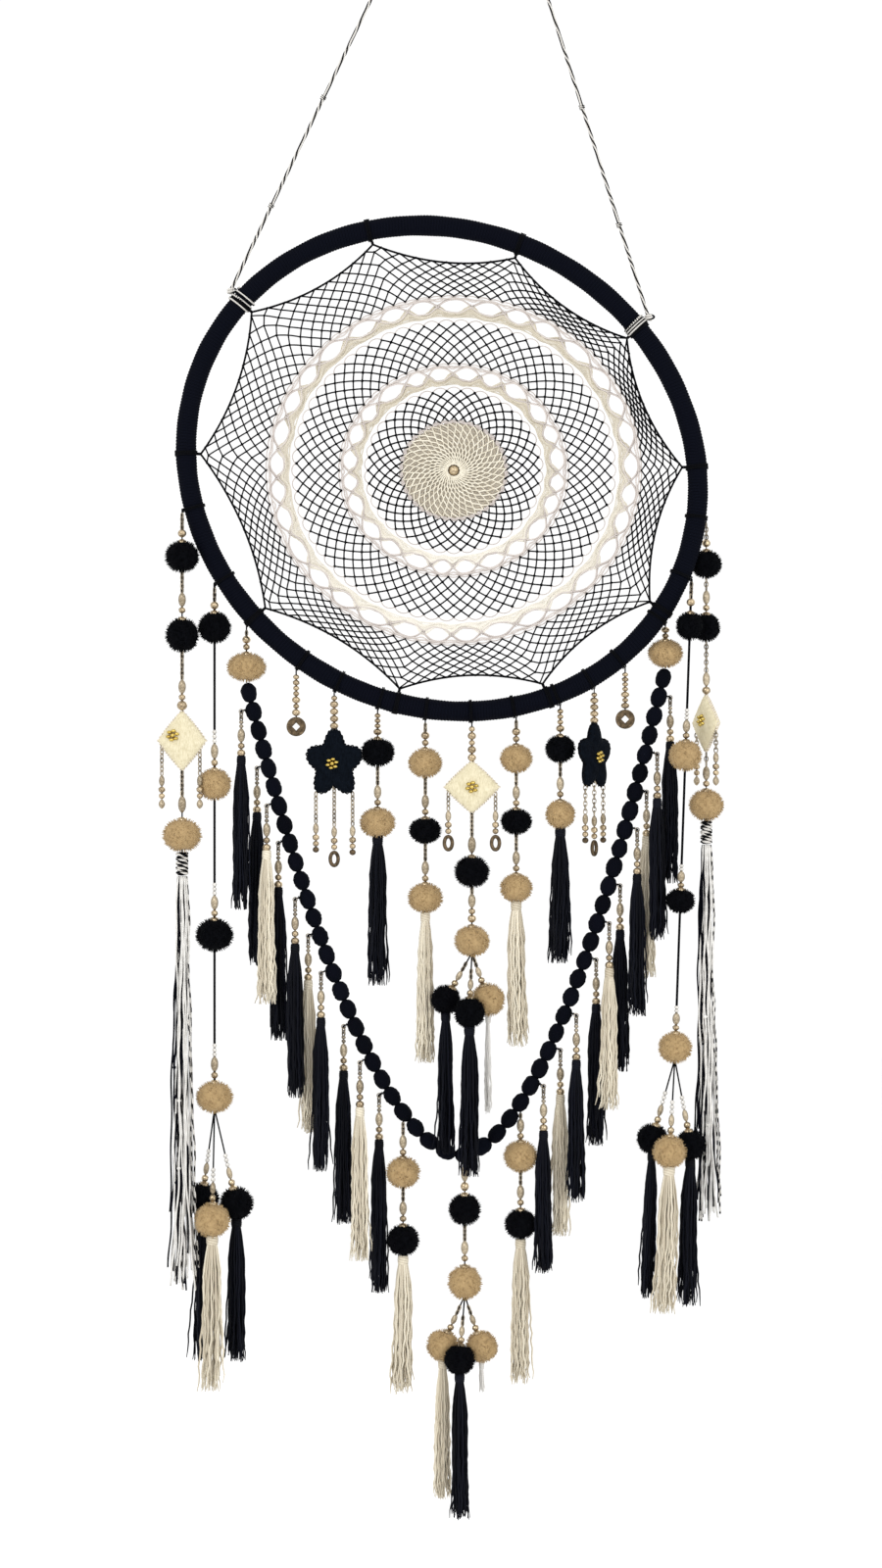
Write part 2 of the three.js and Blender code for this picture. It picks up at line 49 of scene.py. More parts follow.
# Sizes in mm, as in the part's source, whose flat net stands a little further off the hoop.
HOOP_LONG, HOOP_SHORT = 200.3, 181.1
HOOP_LEAN = math.radians(150.6)
HOOP_MIDDLE = np.array([-14.0, 0.0, -378.0])
WRAP_R = 7.7
GAP = 0.4
RING_R, RING_WIRE_R, RING_SPACING = 7.0, 1.2, 130.5
CORD_R = 1.5
PLY_R, PLY_OUT = 0.62, 0.74
EYE_R, EYE_CORD_R = 4.5, 1.2
KNOT_R, KNOT_YARN_R = 3.2, 1.15
LASH_OUT = 2.3
LASH_ANGLES = {"left": 139.9, "right": 36.3}
WEB_MIDDLE = HOOP_MIDDLE + np.array([9.0, 0.0, -1.5])
WEB_SQUASH = 0.93
MANDALA_R = 40.5
INNER_LACE = (66.0, 87.4)
OUTER_LACE = (121.5, 143.2)
ANCHORS = np.array([0.3, 35.2, 70.9, 107.2, 140.6, 176.6, 218.3, 259.1, 295.0, 327.3])
ANCHOR_LINK = 3.0
EDGE_SAG = 8.5
SWAG_BEADS = 55
SWAG_BEAD_R = 5.6
SWAG_Y = 8.5
SWAG_DROP = 362.0
SWAG_LOW = 0.51
SWAG_POWER = 1.82
SWAG_BEAD_HALF = 7.7
STAR_R = 26.5
SIDES = ("left", "right")
DOWN = np.array([0, 0, -1.0])


# --- Camera and lights, in metres. ---
FLOOR_LEVEL = -1.45
CAMERA_PLACE = np.array([-0.01475, -3.0, -0.6195])
LIT_PLACE = (0, 0, -0.6)
LAMPS = {  # place, size, power
    "key": ((-1.5, -2.6, 0.9), 1.6, 34),
    "fill": ((1.9, -2.2, -0.2), 1.8, 16),
    "back": ((0.6, 2.4, 0.6), 1.6, 16),
}


def aimed(thing, place, target):
    """Turns a lamp or camera at a place towards a target."""
    direction = np.array(target) - np.array(place)
    thing.location = place
    thing.rotation_euler = (
        math.acos(-direction[2] / np.linalg.norm(direction)),
        0,
        math.atan2(direction[1], direction[0]) - math.pi / 2,
    )
    bpy.context.scene.collection.objects.link(thing)


def set_up_studio():
    """A long lens level with the middle, three soft lamps and a white surround."""
    scene = bpy.context.scene
    camera = bpy.data.objects.new("camera", bpy.data.cameras.new("camera"))
    camera.data.lens = 90
    camera.data.sensor_width = 36
    aimed(camera, CAMERA_PLACE, CAMERA_PLACE * (1, 0, 1))
    scene.camera = camera
    for name, (place, size, power) in LAMPS.items():
        lamp = bpy.data.lights.new(name, "AREA")
        lamp.size = size
        lamp.energy = power
        aimed(bpy.data.objects.new(name, lamp), place, LIT_PLACE)
    world = bpy.data.worlds.new("studio")
    scene.world = world
    world.use_nodes = True
    world.node_tree.nodes["Background"].inputs["Color"].default_value = (1, 1, 1, 1)
    world.node_tree.nodes["Background"].inputs["Strength"].default_value = 1.06
    scene.view_settings.view_transform = "Standard"


set_up_studio()


# --- Skins: vertices, faces and what the materials read. ---
# "grain" is the place on a piece's own grain in mm: round and along a yarn, or from the middle of a bead.
# "shade" is from 0 to 1, and differs from strand to strand.
def skin(rings, grain, shade, loop=False):
    """Each row of rings is joined to the next, round and along, and a fan to the middle closes each end.
    Loop joins the last ring to the first instead."""
    count, rows, sides = rings.shape[:3]
    at = np.arange(count * rows * sides).reshape(count, rows, sides)
    beside = np.roll(at, -1, 2)
    places, grains, shades = rings.reshape(-1, 3), grain.reshape(-1, 3), shade.reshape(-1)
    if loop:
        after, after_beside = np.roll(at, -1, 1), np.roll(beside, -1, 1)
        quads = np.stack([at, beside, after_beside, after], -1).reshape(-1, 4)
        return [places, quads, np.zeros((0, 3), int), grains, shades]
    quads = np.stack([at[:, :-1], beside[:, :-1], beside[:, 1:], at[:, 1:]], -1).reshape(-1, 4)
    first = at.size + np.arange(count)[:, None] + np.zeros(sides, int)
    last = first + count
    tris = np.concatenate([
        np.stack([first, beside[:, 0], at[:, 0]], -1).reshape(-1, 3),
        np.stack([last, at[:, -1], beside[:, -1]], -1).reshape(-1, 3),
    ])
    places = np.concatenate([places, rings[:, 0].mean(1), rings[:, -1].mean(1)])
    grains = np.concatenate([grains, grain[:, 0].mean(1), grain[:, -1].mean(1)])
    shades = np.concatenate([shades, shade[:, 0].mean(1), shade[:, -1].mean(1)])
    return [places, quads, tris, grains, shades]


def joined(skins):
    """Several skins as one."""
    shift, out = 0, [[], [], [], [], []]
    for places, quads, tris, grains, shades in skins:
        for kept, new in zip(out, (places, quads + shift, tris + shift, grains, shades)):
            kept.append(new)
        shift += len(places)
    return [np.concatenate(kept) for kept in out]


def unit(vectors):
    """The vectors at length 1."""
    return vectors / np.maximum(np.linalg.norm(vectors, axis=-1, keepdims=True), 1e-9)


def frames(paths, aside, loop):
    """Tangent and two directions square to it, the first one square to aside as well."""
    if loop:
        along = np.roll(paths, -1, 1) - np.roll(paths, 1, 1)
    else:
        along = np.gradient(paths, axis=1)
    tangent = unit(along)
    across = unit(np.cross(np.array(aside, float), tangent))
    return tangent, across, np.cross(tangent, across)


def yarns(paths, radius, sides=6, aside=(0, 1, 0), loop=False, shade=None, plies=0, pitch=8.0,
          depth=0.3):
    """A circle carried square to each path. With plies, the circle is lobed, and the lobes turn once round
    in each pitch, so the yarn is laid up like a rope; shade then tells the plies apart."""
    paths = np.asarray(paths, float)
    count, rows = paths.shape[:2]
    _, across, up = frames(paths, aside, loop)
    steps = np.linalg.norm(np.diff(paths, axis=1), axis=2)
    along = np.concatenate([np.zeros((count, 1)), np.cumsum(steps, 1)], 1)
    turn = np.arange(sides) * TURN / sides
    radius = np.broadcast_to(np.asarray(radius, float), (count, rows))[:, :, None] + 0 * turn
    if shade is None:
        shade = draw.random(count)
    shade = np.broadcast_to(np.asarray(shade, float).reshape(-1, 1, 1), (count, rows, sides))
    if plies:
        phase = turn[None, None, :] - TURN * along[:, :, None] / pitch
        radius = radius * (1 - depth + depth * np.abs(np.cos(0.5 * plies * phase)))
        shade = 0.5 + 0.5 * np.cos(0.5 * plies * phase) * (1 if plies == 2 else 0.5)
    place = radius[..., None] * (np.cos(turn)[:, None] * across[:, :, None]
                                 + np.sin(turn)[:, None] * up[:, :, None])
    grain = np.stack([radius * np.cos(turn), radius * np.sin(turn),
                      np.broadcast_to(along[:, :, None], radius.shape)], -1)
    return skin(paths[:, :, None] + place, grain, shade + np.zeros(radius.shape), loop)


def turned(profile, sides=16, lobes=0, depth=0.0, shade=None):
    """A profile of (radius, height) turned round Z, from the top down. Lobes press grooves along it."""
    profile = np.array(profile, float)
    radius, height = profile[::-1, 0], profile[::-1, 1]
    turn = np.arange(sides) * TURN / sides
    grooves = 1 - depth + depth * np.abs(np.cos(0.5 * lobes * turn)) if lobes else 1 + 0 * turn
    wide = radius[:, None] * grooves
    rings = np.stack([wide * np.cos(turn), wide * np.sin(turn),
                      np.broadcast_to(height[:, None], wide.shape)], -1)[None]
    shade = draw.random() if shade is None else shade
    return skin(rings, rings, np.full(rings.shape[:3], shade))


def ball(radius, half=None, rows=10, sides=14, bumps=0.0, ring_bumps=4, turn_bumps=6):
    """A sphere on rows of latitude, stretched to half its height, with waves round and down it."""
    half = half or radius
    tilt = np.linspace(0.12, math.pi - 0.12, rows)[:, None]
    turn = np.arange(sides)[None] * TURN / sides
    swell = 1 + bumps * np.cos(turn_bumps * turn) * np.cos(ring_bumps * tilt)
    rings = np.stack([radius * swell * np.sin(tilt) * np.cos(turn),
                      radius * swell * np.sin(tilt) * np.sin(turn),
                      -half * np.cos(tilt) + 0 * turn], -1)[None]
    return skin(rings, rings, np.full(rings.shape[:3], draw.random()))


def moved(shape, shift=(0, 0, 0), turn=0.0, lean=0.0, matrix=None):
    """Put through a matrix, turned about Z, leant about Y, and shifted."""
    places = shape[0]
    if matrix is not None:
        places = places @ np.asarray(matrix, float).T
    ct, st, cl, sl = math.cos(turn), math.sin(turn), math.cos(lean), math.sin(lean)
    places = places @ np.array([[ct, st, 0], [-st, ct, 0], [0, 0, 1.0]])
    places = places @ np.array([[cl, 0, -sl], [0, 1.0, 0], [sl, 0, cl]])
    return [places + np.array(shift, float), *shape[1:]]


def basis(direction, aside=(0, 1, 0)):
    """Columns that turn the Z axis to a direction."""
    z = unit(np.array(direction, float))
    x = unit(np.cross(np.array(aside, float), z))
    return np.stack([x, np.cross(z, x), z], 1)


def make(name, skins, finish, body, stands_for=()):
    """Puts skins in one mesh, in metres, with the grain and shade that its material reads."""
    places, quads, tris, grains, shades = joined(skins)
    mesh = bpy.data.meshes.new(name)
    mesh.vertices.add(len(places))
    mesh.vertices.foreach_set("co", (places * MM).astype(np.float32).ravel())
    corners = np.concatenate([quads.ravel(), tris.ravel()]).astype(np.int32)
    sizes = np.concatenate([np.full(len(quads), 4), np.full(len(tris), 3)])
    mesh.loops.add(len(corners))
    mesh.loops.foreach_set("vertex_index", corners)
    mesh.polygons.add(len(sizes))
    starts = np.concatenate([[0], np.cumsum(sizes)[:-1]]).astype(np.int32)
    mesh.polygons.foreach_set("loop_start", starts)
    mesh.polygons.foreach_set("use_smooth", np.full(len(sizes), True))
    layer = mesh.attributes.new("grain", "FLOAT_VECTOR", "POINT")
    layer.data.foreach_set("vector", grains.astype(np.float32).ravel())
    layer = mesh.attributes.new("shade", "FLOAT", "POINT")
    layer.data.foreach_set("value", shades.astype(np.float32).ravel())
    mesh.update(calc_edges=True)
    mesh.validate()
    mesh.materials.append(FINISHES[finish])
    thing = bpy.data.objects.new(name, mesh)
    bpy.context.scene.collection.objects.link(thing)
    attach(thing, body)
    if stands_for:
        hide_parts(*stands_for)
    return thing


# --- Materials. ---
def new_group(name, numbers):
    """A shader group that reads the grain, with number inputs, and gives a mask and a height."""
    tree = bpy.data.node_groups.new(name, "ShaderNodeTree")
    tree.interface.new_socket("Grain", in_out="INPUT", socket_type="NodeSocketVector")
    for label, value in numbers.items():
        socket = tree.interface.new_socket(label, in_out="INPUT", socket_type="NodeSocketFloat")
        socket.default_value = value
    for label in ("Mask", "Height"):
        tree.interface.new_socket(label, in_out="OUTPUT", socket_type="NodeSocketFloat")
    return tree, tree.nodes.new("NodeGroupInput").outputs, tree.nodes.new("NodeGroupOutput").inputs


def sums(tree, operation, *values):
    """A Math node on sockets or numbers."""
    node = tree.nodes.new("ShaderNodeMath")
    node.operation = operation
    for socket, value in zip(node.inputs, values):
        if isinstance(value, (int, float)):
            socket.default_value = value
        else:
            tree.links.new(value, socket)
    return node.outputs[0]


def noise(tree, vector, scale, detail=3.0, roughness=0.6):
    """Noise at a scale that is a number or a socket."""
    node = tree.nodes.new("ShaderNodeTexNoise")
    node.inputs["Detail"].default_value = detail
    node.inputs["Roughness"].default_value = roughness
    tree.links.new(vector, node.inputs["Vector"])
    if isinstance(scale, (int, float)):
        node.inputs["Scale"].default_value = scale
    else:
        tree.links.new(scale, node.inputs["Scale"])
    return node.outputs[0]


def scaled(tree, vector, *scale):
    """A vector stretched by a number on each axis."""
    node = tree.nodes.new("ShaderNodeMapping")
    node.inputs["Scale"].default_value = scale
    tree.links.new(vector, node.inputs["Vector"])
    return node.outputs[0]


def split(tree, vector):
    """The three numbers of a vector."""
    node = tree.nodes.new("ShaderNodeSeparateXYZ")
    tree.links.new(vector, node.inputs[0])
    return node.outputs


def spread(tree, value, start=0.0, stop=1.0, low=0.0, high=1.0):
    """A value's range from start to stop, drawn out to run from low to high."""
    node = tree.nodes.new("ShaderNodeMapRange")
    for label, number in (("From Min", start), ("From Max", stop), ("To Min", low), ("To Max", high)):
        node.inputs[label].default_value = number
    tree.links.new(value, node.inputs[0])
    return node.outputs[0]


def clamped(tree, value):
    """A value held between 0 and 1."""
    node = tree.nodes.new("ShaderNodeClamp")
    tree.links.new(value, node.inputs[0])
    return node.outputs[0]


def fuzzed(tree, value, vector, scale, amount):
    """A value roughened by fine noise about its middle, by an amount."""
    fuzz = sums(tree, "SUBTRACT", noise(tree, vector, scale, 4.0, 0.7), 0.5)
    return sums(tree, "ADD", value, sums(tree, "MULTIPLY", fuzz, amount))


def ridges(tree, phase):
    """Rounded ridges with sharp creases: the size of a cosine."""
    return sums(tree, "ABSOLUTE", sums(tree, "COSINE", phase))


def make_twist_group():
    """Laid-up fibres: creases that wind round the yarn as they go along it, broken up by fine noise."""
    tree, given, gives = new_group("yarn_twist", {"Plies": 3.0, "Turns per mm": 0.4, "Fuzz": 0.4})
    x, y, z = split(tree, given["Grain"])
    half_plies = sums(tree, "MULTIPLY", given["Plies"], 0.5)
    round_it = sums(tree, "MULTIPLY", sums(tree, "ARCTAN2", y, x), half_plies)
    winds = sums(tree, "MULTIPLY", z, given["Turns per mm"])
    phase = sums(tree, "ADD", round_it, sums(tree, "MULTIPLY", winds, math.pi))
    height = fuzzed(tree, ridges(tree, phase), scaled(tree, given["Grain"], 1, 1, 0.35), 2.6, given["Fuzz"])
    tree.links.new(height, gives["Height"])
    tree.links.new(clamped(tree, height), gives["Mask"])
    return tree


def make_fibre_group():
    """Loose fibres: noise drawn out along the grain, with tufts from a coarser one."""
    tree, given, gives = new_group("loose_fibre", {"Fibres per mm": 3.0, "Tufts": 0.5})
    fine = noise(tree, scaled(tree, given["Grain"], 1, 1, 0.12), given["Fibres per mm"], 4.0, 0.65)
    tufts = noise(tree, given["Grain"], 0.35, 2.0, 0.5)
    height = sums(tree, "ADD", fine, sums(tree, "MULTIPLY", tufts, given["Tufts"]))
    height = sums(tree, "DIVIDE", height, sums(tree, "ADD", given["Tufts"], 1.0))
    tree.links.new(spread(tree, height, 0.36, 0.64), gives["Mask"])
    tree.links.new(height, gives["Height"])
    return tree


def make_weave_group():
    """Plain cloth: two sets of threads crossing, each one's swell a cosine of the place across it."""
    tree, given, gives = new_group("cloth_weave", {"Threads per mm": 1.6, "Fuzz": 0.3})
    x, _, z = split(tree, given["Grain"])
    pitch = sums(tree, "MULTIPLY", given["Threads per mm"], math.pi)
    warp = ridges(tree, sums(tree, "MULTIPLY", x, pitch))
    weft = ridges(tree, sums(tree, "MULTIPLY", z, pitch))
    height = fuzzed(tree, sums(tree, "MULTIPLY", warp, weft), given["Grain"], 3.0, given["Fuzz"])
    tree.links.new(height, gives["Height"])
    tree.links.new(clamped(tree, height), gives["Mask"])
    return tree


def make_patina_group():
    """Tarnish: dark blotches and fine pits, from two scales of noise."""
    tree, given, gives = new_group("patina", {"Blotches": 0.5, "Pits": 2.5})
    blotches = noise(tree, given["Grain"], given["Blotches"], 3.0, 0.6)
    pits = noise(tree, given["Grain"], given["Pits"], 3.0, 0.7)
    height = sums(tree, "ADD", sums(tree, "MULTIPLY", blotches, 0.6), sums(tree, "MULTIPLY", pits, 0.4))
    tree.links.new(spread(tree, height, 0.38, 0.6), gives["Mask"])
    tree.links.new(height, gives["Height"])
    return tree


GROUPS = {
    "twist": make_twist_group(),
    "fibre": make_fibre_group(),
    "weave": make_weave_group(),
    "patina": make_patina_group(),
}
FINISHES = {}


def read_attribute(tree, name):
    """What a vertex attribute of the mesh holds."""
    node = tree.nodes.new("ShaderNodeAttribute")
    node.attribute_name = name
    return node.outputs


def mixed(tree, factor, low, high):
    """A colour between low and high, where high is a colour or a socket."""
    node = tree.nodes.new("ShaderNodeMix")
    node.data_type = "RGBA"
    tree.links.new(factor, node.inputs["Factor"])
    node.inputs["A"].default_value = (*low, 1)
    if isinstance(high, tuple):
        node.inputs["B"].default_value = (*high, 1)
    else:
        tree.links.new(high, node.inputs["B"])
    return node.outputs["Result"]


def make_finish(name, low, high, group, numbers, rough, metal=0.0, bump=0.5, depth=0.2,
                shade_share=0.35, sheen=0.0, stripes=None, own_grain=True, coat=0.0, glint=0.3):
    """Low and high are the colours in the creases and on the ridges, and rough is their roughness. With the
    yarn, fibre and cloth patterns the low colour is painted shade in the creases and between threads; with
    patina it is tarnish. Stripes, if given, is the colour of the second ply. Depth is in mm, and glint is how
    much shine the fibres have. A mesh without a grain of its own is read by its place in mm."""
    material = bpy.data.materials.new(name)
    material.use_nodes = True
    tree = material.node_tree
    shader = tree.nodes["Principled BSDF"]
    pattern = tree.nodes.new("ShaderNodeGroup")
    pattern.node_tree = GROUPS[group]
    for label, value in numbers.items():
        pattern.inputs[label].default_value = value
    if own_grain:
        tree.links.new(read_attribute(tree, "grain")["Vector"], pattern.inputs["Grain"])
        shade = read_attribute(tree, "shade")["Fac"]
    else:
        place = tree.nodes.new("ShaderNodeTexCoord").outputs["Object"]
        in_mm = scaled(tree, place, 1000, 1000, 1000)
        tree.links.new(in_mm, pattern.inputs["Grain"])
        shade = noise(tree, in_mm, 0.05)
    # painted shade: the colour runs to low where the pattern's relief is low, in creases and between threads
    # (tarnish for patina), and each strand's own tone from the shade attribute is mixed in
    mask = sums(tree, "MULTIPLY", pattern.outputs["Mask"], 1 - shade_share)
    mask = sums(tree, "ADD", mask, sums(tree, "MULTIPLY", shade, shade_share))
    colour = mixed(tree, mask, low, high)
    if stripes:
        colour = mixed(tree, spread(tree, shade, 0.42, 0.58), stripes, colour)
    tree.links.new(colour, shader.inputs["Base Color"])
    gloss = spread(tree, pattern.outputs["Mask"], 0.0, 1.0, *rough)
    tree.links.new(gloss, shader.inputs["Roughness"])
    relief = tree.nodes.new("ShaderNodeBump")
    relief.inputs["Strength"].default_value = bump
    relief.inputs["Distance"].default_value = depth * MM
    tree.links.new(pattern.outputs["Height"], relief.inputs["Height"])
    tree.links.new(relief.outputs[0], shader.inputs["Normal"])
    shader.inputs["Metallic"].default_value = metal
    shader.inputs["Sheen Weight"].default_value = sheen
    shader.inputs["Specular IOR Level"].default_value = glint
    shader.inputs["Sheen Roughness"].default_value = 0.4
    shader.inputs["Coat Weight"].default_value = coat
    shader.inputs["Coat Roughness"].default_value = 0.2
    material.diffuse_color = (*high, 1)
    FINISHES[name] = material


BLACK = {"glint": 0.06}
make_finish("black_yarn", (0.0003, 0.0005, 0.0014), (0.0022, 0.003, 0.0075), "twist",
            {"Plies": 4, "Turns per mm": 0.9, "Fuzz": 0.6}, (1.0, 0.85), **BLACK)
make_finish("black_thread", (0.0003, 0.0004, 0.0008), (0.0022, 0.0025, 0.004), "twist",
            {"Plies": 2, "Turns per mm": 0.8, "Fuzz": 0.3}, (0.9, 0.7), **BLACK)
make_finish("black_silk", (0.0002, 0.0003, 0.0008), (0.0035, 0.0045, 0.01), "twist",
            {"Plies": 3, "Turns per mm": 0.5, "Fuzz": 0.5}, (0.8, 0.6), glint=0.1, shade_share=0.6)
make_finish("black_wool", (0.0002, 0.0002, 0.0005), (0.002, 0.0024, 0.004), "fibre",
            {"Fibres per mm": 2.0, "Tufts": 0.6}, (1.0, 0.9), **BLACK)
make_finish("black_cloth", (0.0003, 0.0005, 0.0012), (0.003, 0.004, 0.0095), "weave",
            {"Threads per mm": 1.4, "Fuzz": 0.5}, (1.0, 0.8), **BLACK)
make_finish("black_felt", (0.0004, 0.0008, 0.0016), (0.0035, 0.006, 0.011), "fibre",
            {"Fibres per mm": 1.6, "Tufts": 0.5}, (1.0, 0.9), **BLACK)
make_finish("tan_wool", (0.25, 0.165, 0.08), (0.55, 0.395, 0.2), "fibre",
            {"Fibres per mm": 2.4, "Tufts": 0.4}, (1.0, 0.85), sheen=0.15, shade_share=0.5, glint=0.1)
make_finish("cream_cotton", (0.5, 0.42, 0.32), (0.82, 0.76, 0.66), "twist",
            {"Plies": 2, "Turns per mm": 0.7, "Fuzz": 0.5}, (0.95, 0.8), sheen=0.1)
make_finish("white_cotton", (0.46, 0.44, 0.41), (0.84, 0.83, 0.8), "twist",
            {"Plies": 2, "Turns per mm": 0.7, "Fuzz": 0.5}, (0.95, 0.8), sheen=0.1, shade_share=0.5)
make_finish("lace_cotton", (0.4, 0.35, 0.33), (0.66, 0.61, 0.57), "twist",
            {"Plies": 2, "Turns per mm": 0.7, "Fuzz": 0.6}, (1.0, 0.9), glint=0.1)
# painted light and shade: the band's low colour is its shaded tone, and its near-white high colour is the
# painted light low down on the ring
make_finish("beige_cotton_painted_light", (0.38, 0.32, 0.21), (0.82, 0.79, 0.72), "twist",
            {"Plies": 2, "Turns per mm": 0.7, "Fuzz": 0.6}, (1.0, 0.9), glint=0.1, shade_share=0.55)
make_finish("web_cotton", (0.52, 0.46, 0.35), (0.9, 0.86, 0.74), "twist",
            {"Plies": 2, "Turns per mm": 0.9, "Fuzz": 0.5}, (1.0, 0.9), glint=0.1)
make_finish("grey_cotton", (0.3, 0.262, 0.205), (0.54, 0.485, 0.395), "twist",
            {"Plies": 2, "Turns per mm": 0.9, "Fuzz": 0.5}, (1.0, 0.9), glint=0.1)
make_finish("cream_silk", (0.34, 0.28, 0.19), (0.82, 0.76, 0.62), "twist",
            {"Plies": 3, "Turns per mm": 0.5, "Fuzz": 0.6}, (0.8, 0.6), sheen=0.05, shade_share=0.6)
make_finish("ivory_felt", (0.52, 0.46, 0.3), (0.74, 0.68, 0.5), "fibre",
            {"Fibres per mm": 1.8, "Tufts": 0.4}, (1.0, 0.85), sheen=0.1, bump=0.45, depth=0.25,
            shade_share=0.05, glint=0.1)
make_finish("striped_cord", (0.36, 0.34, 0.31), (0.74, 0.72, 0.68), "twist",
            {"Plies": 2, "Turns per mm": 0.8, "Fuzz": 0.5}, (0.95, 0.8), stripes=(0.0012, 0.0016, 0.003),
            shade_share=0.0, glint=0.06)
make_finish("gold", (0.1, 0.065, 0.035), (0.74, 0.6, 0.4), "patina",
            {"Blotches": 0.45, "Pits": 1.6}, (0.42, 0.2), metal=0.92, bump=0.4, depth=0.15,
            shade_share=0.3)
make_finish("bright_gold", (0.28, 0.17, 0.02), (0.86, 0.68, 0.2), "patina",
            {"Blotches": 0.6, "Pits": 2.0}, (0.3, 0.15), metal=0.95, bump=0.2, depth=0.1,
            shade_share=0.3)
make_finish("chain", (0.07, 0.055, 0.04), (0.6, 0.52, 0.4), "patina",
            {"Blotches": 0.7, "Pits": 2.5}, (0.5, 0.3), metal=0.85, bump=0.3, depth=0.1, shade_share=0.5)
make_finish("pale_bead", (0.13, 0.095, 0.055), (0.58, 0.49, 0.35), "patina",
            {"Blotches": 0.7, "Pits": 1.8}, (0.5, 0.3), metal=0.45, bump=0.4, depth=0.12,
            shade_share=0.4, coat=0.1)
make_finish("white_bead", (0.4, 0.38, 0.35), (0.78, 0.76, 0.72), "patina",
            {"Blotches": 0.5, "Pits": 1.5}, (0.35, 0.2), metal=0.3, bump=0.1, coat=0.3)
make_finish("bronze", (0.018, 0.013, 0.008), (0.17, 0.12, 0.07), "patina",
            {"Blotches": 0.35, "Pits": 1.8}, (0.6, 0.35), metal=0.8, bump=0.5, depth=0.2,
            shade_share=0.2)
make_finish("steel", (0.32, 0.33, 0.35), (0.72, 0.73, 0.75), "patina",
            {"Blotches": 0.3, "Pits": 2.0}, (0.4, 0.2), metal=1.0, bump=0.15, depth=0.05)
make_finish("rattan", (0.2, 0.12, 0.05), (0.5, 0.35, 0.18), "fibre",
            {"Fibres per mm": 1.0, "Tufts": 0.3}, (0.7, 0.5), own_grain=False)
make_finish("floor", (0.94, 0.94, 0.94), (0.97, 0.97, 0.97), "fibre",
            {"Fibres per mm": 0.01, "Tufts": 0.2}, (0.95, 0.9), bump=0.05, own_grain=False)


# --- The hoop's oval. ---
def hoop_point(degrees, out=0.0, y=0.0):
    """Point at an angle round the hoop, in the hoop's frame: the oval's radius plus an outward offset."""
    angle = np.radians(degrees)
    t = angle - HOOP_LEAN
    radius = 1 / np.hypot(np.cos(t) / (HOOP_LONG + out), np.sin(t) / (HOOP_SHORT + out))
    return np.stack([radius * np.cos(angle), y + 0 * radius, radius * np.sin(angle)], -1)


# --- Hanging cords, made first. ---
def hanging_route(side):
    """From the knot below the ring straight to the lashing on the hoop."""
    sign = -1 if side == "left" else 1
    eye_middle = EYE_R - RING_WIRE_R - EYE_CORD_R - 2 * GAP
    bottom = np.array([sign * RING_SPACING / 2, 0, -RING_R - eye_middle - EYE_R])
    tie = hoop_point(LASH_ANGLES[side], WRAP_R + LASH_OUT + CORD_R + GAP) + HOOP_MIDDLE
    down = unit(tie - bottom)
    knot = bottom + down * (KNOT_R - 0.7)
    return bottom, knot, knot + down * (KNOT_R + GAP), tie, down


def make_hanging(side):
    """A cord of two pale and two dark yarns that wind round its route, unevenly as hand twisting is, with
    two ties on it, and above it the knot, the eye and the ring."""
    bottom, knot, top, tie, down = hanging_route(side)
    t = np.linspace(0, 1, 340)[:, None]
    route = tie + (top - tie) * t
    reach = basis(down)
    laid = TURN * (13 * t - 3.5 * t * t + 0.12 * np.sin(TURN * 5 * t) + 0.1 * np.sin(TURN * 11 * t))
    plies = [route + PLY_OUT * (np.cos(laid + turn) * reach[:, 0] + np.sin(laid + turn) * reach[:, 1])
             for turn in (0, 0.5 * math.pi, math.pi, 1.5 * math.pi)]
    cord = make("cord_" + side, [yarns(plies, PLY_R, 8, shade=[1.0, 0.0, 1.0, 0.0])],
                "striped_cord", "hoop", ["hanging_cord_" + side])
    centre = bottom + np.array([0, 0, EYE_R])
    a = np.linspace(0, TURN, 60, endpoint=False)
    eye = centre + np.stack([0 * a, EYE_R * np.sin(a), EYE_R * np.cos(a)], -1)
    turns = np.linspace(0, 3.2, 90)
    spin = TURN * turns
    lump = KNOT_R - KNOT_YARN_R
    wound = np.stack([lump * np.cos(spin), lump * np.sin(spin), (turns / 3.2 - 0.5) * 3.4], -1) @ reach.T
    ties = []
    for part in (0.34, 0.71):
        at = top + (tie - top) * part
        spin = np.linspace(0, TURN * 2.2, 50)
        ties.append(np.stack([1.9 * np.cos(spin), 1.9 * np.sin(spin), spin * 0.22 - 1.4], -1) @ reach.T + at)
    knots = [
        yarns(eye[None], EYE_CORD_R, 10, aside=(1, 0, 0), loop=True, plies=2, pitch=TURN * EYE_R / 4),
        yarns((knot + wound)[None], KNOT_YARN_R, 8, aside=down, plies=2, pitch=6),
        moved(ball(KNOT_R - 1.0), knot),
        *[yarns(p[None], 0.6, 6, aside=down, plies=2, pitch=4) for p in ties],
    ]
    make("knot_" + side, knots, "striped_cord", "hoop", ["hanging_knot_" + side])
    ring = np.stack([RING_R * np.cos(a), 0 * a, RING_R * np.sin(a)], -1)
    ring[:, 0] += bottom[0]
    make("ring_" + side, [yarns(ring[None], RING_WIRE_R, 14, loop=True)], "steel", "hooks",
         ["hanging_ring_" + side])


for each_side in SIDES:
    make_hanging(each_side)


